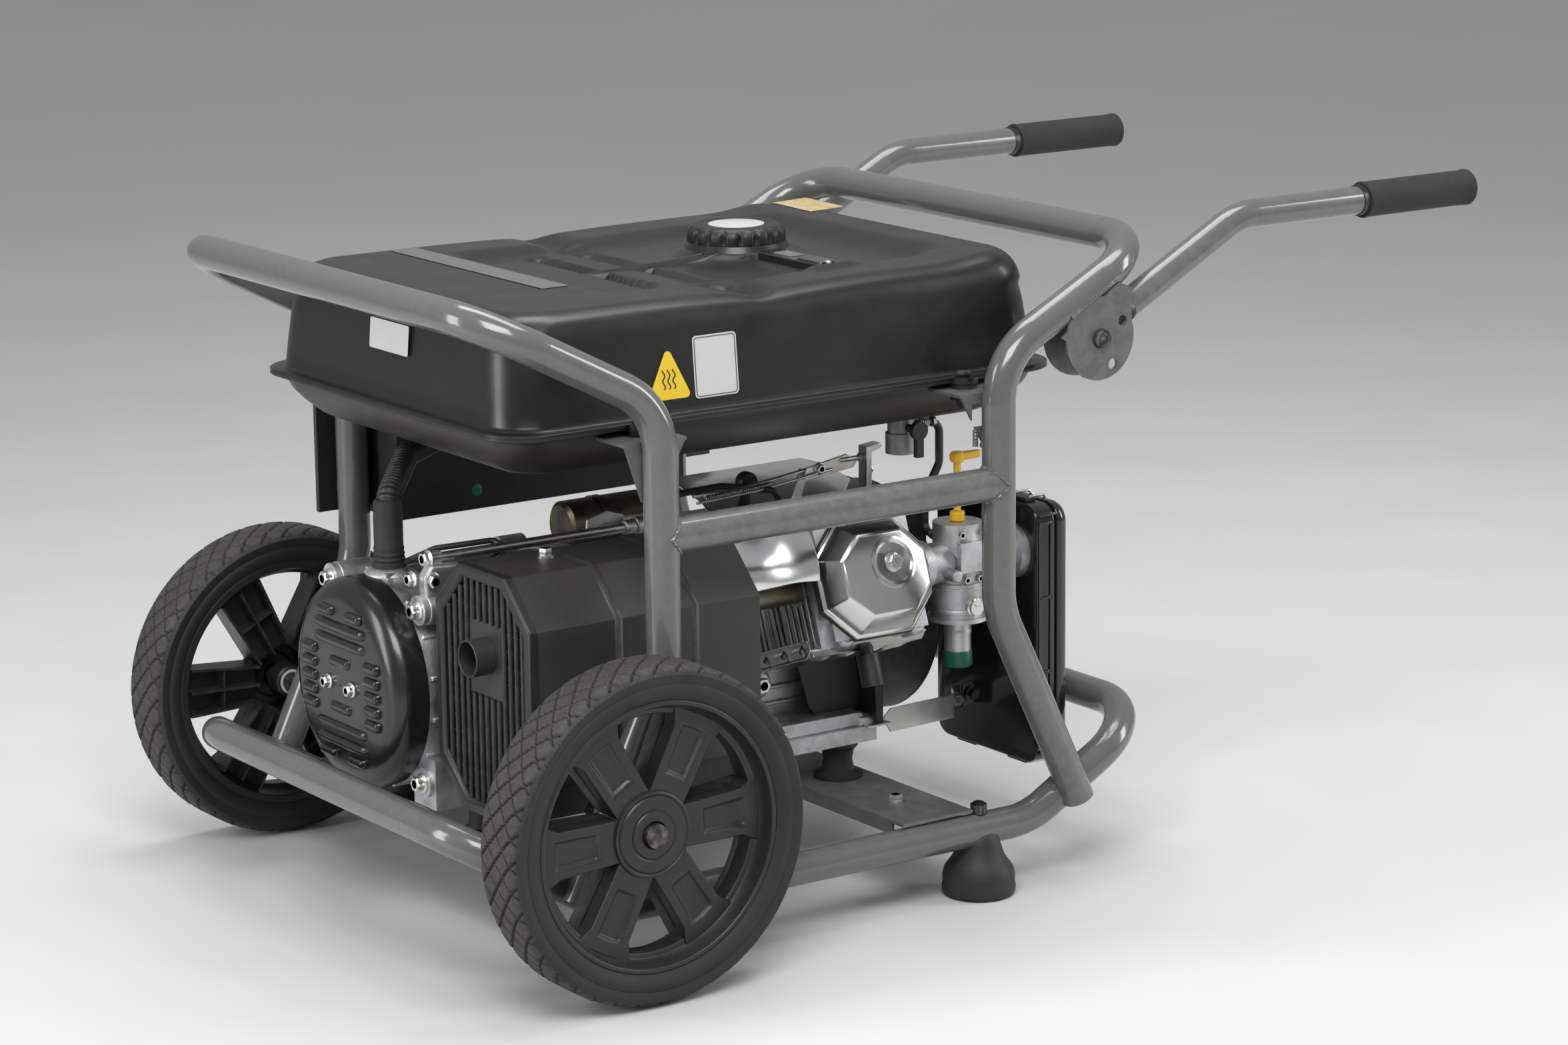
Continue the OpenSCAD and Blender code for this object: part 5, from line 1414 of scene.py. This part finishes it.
filt.loft([rect_ring(288, 3.0), rect_ring(289, 1.2), rect_ring(306, 1.0), rect_ring(309, 1.0),
           rect_ring(310, 1.6), rect_ring(311.6, 2.2)])
filt.build("air_box_base", "gloss", bevel=0.6, angle=40, slot="black_plastic", replaces=("air_box",))
lid = Shape()
lid.loft([rect_ring(312.2, 1.6), rect_ring(312.6, 0.3), rect_ring(316, 0.0), rect_ring(320, 0.3, 18),
          rect_ring(325, 3.0, 17), rect_ring(328.4, 9.0, 14), rect_ring(329, 12.0, 12)])
lid.build("air_box_lid", "gloss", bevel=0.8, angle=40, slot="black_plastic", replaces=("air_box_cover",))
ribs = Shape()
for k in range(9):
    y = -192 + 15.8 * k
    path = [(328.2, y, 118), (329.4, y, 122), (329.6, y, 324), (328.2, y, 328)]
    ribs.tube(path, 1.4, 10)
ring = rect_ring(328.6, 16.0, 10)
ribs.tube([Vector(p) for p in ring] + [Vector(ring[0])], 1.6, 10)
ribs.build("air_box_ribs", "gloss", slot="black_plastic")
side_ribs = Shape()
side_ribs.box(290, 293, -211.8, -209, 112, 334)
side_ribs.box(303, 306, -211.8, -209, 112, 334)
for z in (112, 186, 260, 334):
    side_ribs.box(290, 306, -211.8, -209, z, z + 3)
for z in (104, 342):
    side_ribs.box(290, 310, -211.6, -209, z, z + 3)
side_ribs.build("air_box_side_ribs", "gloss", bevel=0.8, seg=3, slot="black_plastic")
clipw = Shape()
for z, s in ((353, 1), (93, -1)):
    for y in (-170, -88):
        clipw.tube(rounded([(300, y - 12, z - 4 * s), (300, y - 12, z + 3.4 * s), (318, y - 12, z + 3.6 * s),
                            (323, y - 9, z - 3 * s), (326, y, z - 7 * s), (323, y + 9, z - 3 * s),
                            (318, y + 12, z + 3.6 * s), (300, y + 12, z + 3.4 * s),
                            (300, y + 12, z - 4 * s)], 2.5), 1.3, 10)
clipw.build("air_box_clips", "steel")
lugs = Shape()
for z, s in ((352, 1), (94, -1)):
    for y in (-170, -88):
        lugs.box(294, 306, y - 15, y + 15, min(z, z + 4 * s), max(z, z + 4 * s))
lugs.build("air_box_lugs", "plastic", bevel=1.0, slot="black_plastic")

# ---------- control panel on the far side ----------

PANEL_Y = 306
SOCKET_XS, SOCKET_Z = (-130, -60, 10), 384


def face_ring(y, inset, r=10):
    pts = round_rect(-216 + inset, 250 - inset, 326 + inset, 462 - inset, max(2, r - inset / 2), 6)
    return [Vector((x, y, z)) for x, z in pts]


edge = Shape()
edge.loft([face_ring(PANEL_Y, 4), face_ring(PANEL_Y + 1.0, 5), face_ring(PANEL_Y + 1.4, 7),
           face_ring(PANEL_Y, 8)], cap=False)
edge.build("panel_rim", "panel")
bez = Shape()
for x in SOCKET_XS:
    bez.lathe([(31, 0), (31, 1.6), (29, 2.6), (27.5, 2.6), (26.6, 1.4), (26.6, 0)], (x, PANEL_Y, SOCKET_Z),
              (0, 1, 0), 72, cap=False)
bez.build("socket_bezels", "plastic", slot="black_plastic")
panel_screws = Shape()
for x in (-206, 240):
    for z in (336, 452):
        panel_screws.hexagon((x, PANEL_Y, z), (0, 1, 0), 8, 3.4)
for x in SOCKET_XS:
    for out in (-20.3, 20.3):
        panel_screws.lathe([(3.2, 0), (3.0, 1.2), (2, 2), (0.8, 2.1)],
                           (x + out, PANEL_Y + 1.6, SOCKET_Z + out), (0, 1, 0), 20)
panel_screws.build("panel_screws", "zinc")
labels = Shape()
labels.prism([(40, 436), (232, 436), (232, 452), (40, 452)], "y", PANEL_Y, PANEL_Y + 0.5)
labels.prism([(-206, 436), (-10, 436), (-10, 452), (-206, 452)], "y", PANEL_Y, PANEL_Y + 0.5)
labels.build("panel_labels", "grey_label", bevel=0.3)
dot = Shape()
dot.lathe([(6, 0), (6, 0.5), (5.4, 0.8), (0.5, 0.8)], (-78, 226.3, 343), (0, -1, 0), 40)
dot.build("earth_mark", "green_label")

# ---------- conduit and leads ----------

route = rounded([(-294, 24, 350), (-294, 24, 398), (-240, 80, 424), (-150, 150, 424), (-150, 228, 424)],
                20, 1.1)
conduit = Shape()


def corrugation(d):
    phase = (d % 5.2) / 5.2
    return 10.3 + 1.5 * (0.5 + 0.5 * math.cos(2 * math.pi * phase)) ** 0.6


conduit.tube(fine_path(route, 0.6), corrugation, 28)
conduit.build("conduit_hose", "hose", slot="rubber", replaces=("cable_conduit",))
boot = Shape()
boot.lathe([(15.9, 0), (15.9, 7), (14.4, 8.5), (15.4, 11), (14.2, 13), (15.0, 16), (14.0, 18), (14.6, 21),
            (13.8, 23), (13.9, 50), (13.2, 62), (12.6, 66), (11.4, 67)], (-294, 24, 331), (0, 0, 1), 56)
boot.build("conduit_boot", "rubber", slot="rubber")
lead = Shape()
lead.tube(rounded([(-284, 14, 338), (-262, -6, 352), (-212, -28, 357), (-206, -44, 352),
                   (-246, -62, 342)], 9), 2.8, 14)
lead.tube(rounded([(88, -60, 352), (84, -70, 372), (30, -50, 380), (-30, -40, 376)], 14), 3.4, 14)
lead.build("ignition_lead", "hose", slot="rubber")

# ---------- plain studio ----------

floor_z = CAD_BOX[0].z
floor = Shape()
floor.box(-14000, 14000, -14000, 14000, floor_z * 1000 - 20, floor_z * 1000 - 0.2)


def studio_floor():
    m = bpy.data.materials.new("studio_floor")
    m.use_nodes = True
    t = m.node_tree
    shader = t.nodes["Principled BSDF"]
    coords = shade_node(t, "ShaderNodeTexCoord").outputs["Object"]
    colour = mix(t, noise(t, coords, 1.5, 3), (0.6, 0.6, 0.595), (0.66, 0.66, 0.655))
    link(t, colour, shader.inputs["Base Color"])
    link(t, remap(t, noise(t, coords, 6, 3), 0.3, 0.7, 0.5, 0.62), shader.inputs["Roughness"])
    return m


me = bpy.data.meshes.new("studio_floor")
me.from_pydata([W(*p) for p in floor.v], [], floor.f)
me.materials.append(studio_floor())
ground = bpy.data.objects.new("studio_floor", me)
bpy.context.scene.collection.objects.link(ground)

world = bpy.data.worlds.new("studio")
bpy.context.scene.world = world
world.use_nodes = True
t = world.node_tree
sky = t.nodes["Background"]
coords = shade_node(t, "ShaderNodeTexCoord").outputs["Generated"]
split = shade_node(t, "ShaderNodeSeparateXYZ")
link(t, coords, split.inputs[0])
level = remap(t, split.outputs["Z"], -0.2, 0.9, 0, 1)
link(t, mix(t, level, (0.66, 0.67, 0.68), (0.95, 0.96, 0.98)), sky.inputs["Color"])
sky.inputs["Strength"].default_value = 0.42


def soft_light(name, place, target, size, power, tint=(1, 1, 1)):
    data = bpy.data.lights.new(name, "AREA")
    data.shape, data.size, data.size_y = "RECTANGLE", size[0], size[1]
    data.energy, data.color = power, tint
    o = bpy.data.objects.new(name, data)
    o.location = place
    o.rotation_euler = (Vector(target) - Vector(place)).to_track_quat("-Z", "Y").to_euler()
    bpy.context.scene.collection.objects.link(o)
    return o


soft_light("key_light", (-1.3, -1.7, 2.3), (0, 0, 0.3), (1.6, 1.2), 58)
soft_light("top_light", (0.3, 0.2, 2.9), (0, 0, 0.3), (2.4, 1.0), 46)
soft_light("side_light", (-2.6, 0.4, 1.1), (0, 0, 0.35), (0.7, 1.8), 30)
soft_light("right_light", (2.4, -1.6, 1.3), (0, 0, 0.35), (0.6, 1.8), 30)

# camera fitted to the photograph: turn, height angle, roll, lens, point looked at and distance
LENS_MM, DISTANCE = 100.71949, 4.31211
LOOK_AT = Vector((-0.0495, 0, 0.32072))
a, e, r = math.radians(-34.62), math.radians(12.70), math.radians(-0.65)
right = Vector((math.cos(a), math.sin(a), 0))
back = Vector((math.sin(a) * math.cos(e), -math.cos(a) * math.cos(e), math.sin(e)))
up = back.cross(right)
across = right * math.cos(r) + up * math.sin(r)
upward = up * math.cos(r) - right * math.sin(r)
cam_data = bpy.data.cameras.new("camera")
cam_data.sensor_width = 36
cam_data.lens = LENS_MM
cam_data.clip_end = 50
camera = bpy.data.objects.new("camera", cam_data)
turn = Matrix((across, upward, back)).transposed().to_4x4()
camera.matrix_world = Matrix.Translation(LOOK_AT + back * DISTANCE) @ turn
bpy.context.scene.collection.objects.link(camera)
bpy.context.scene.camera = camera
bpy.context.scene.view_settings.view_transform = "Standard"
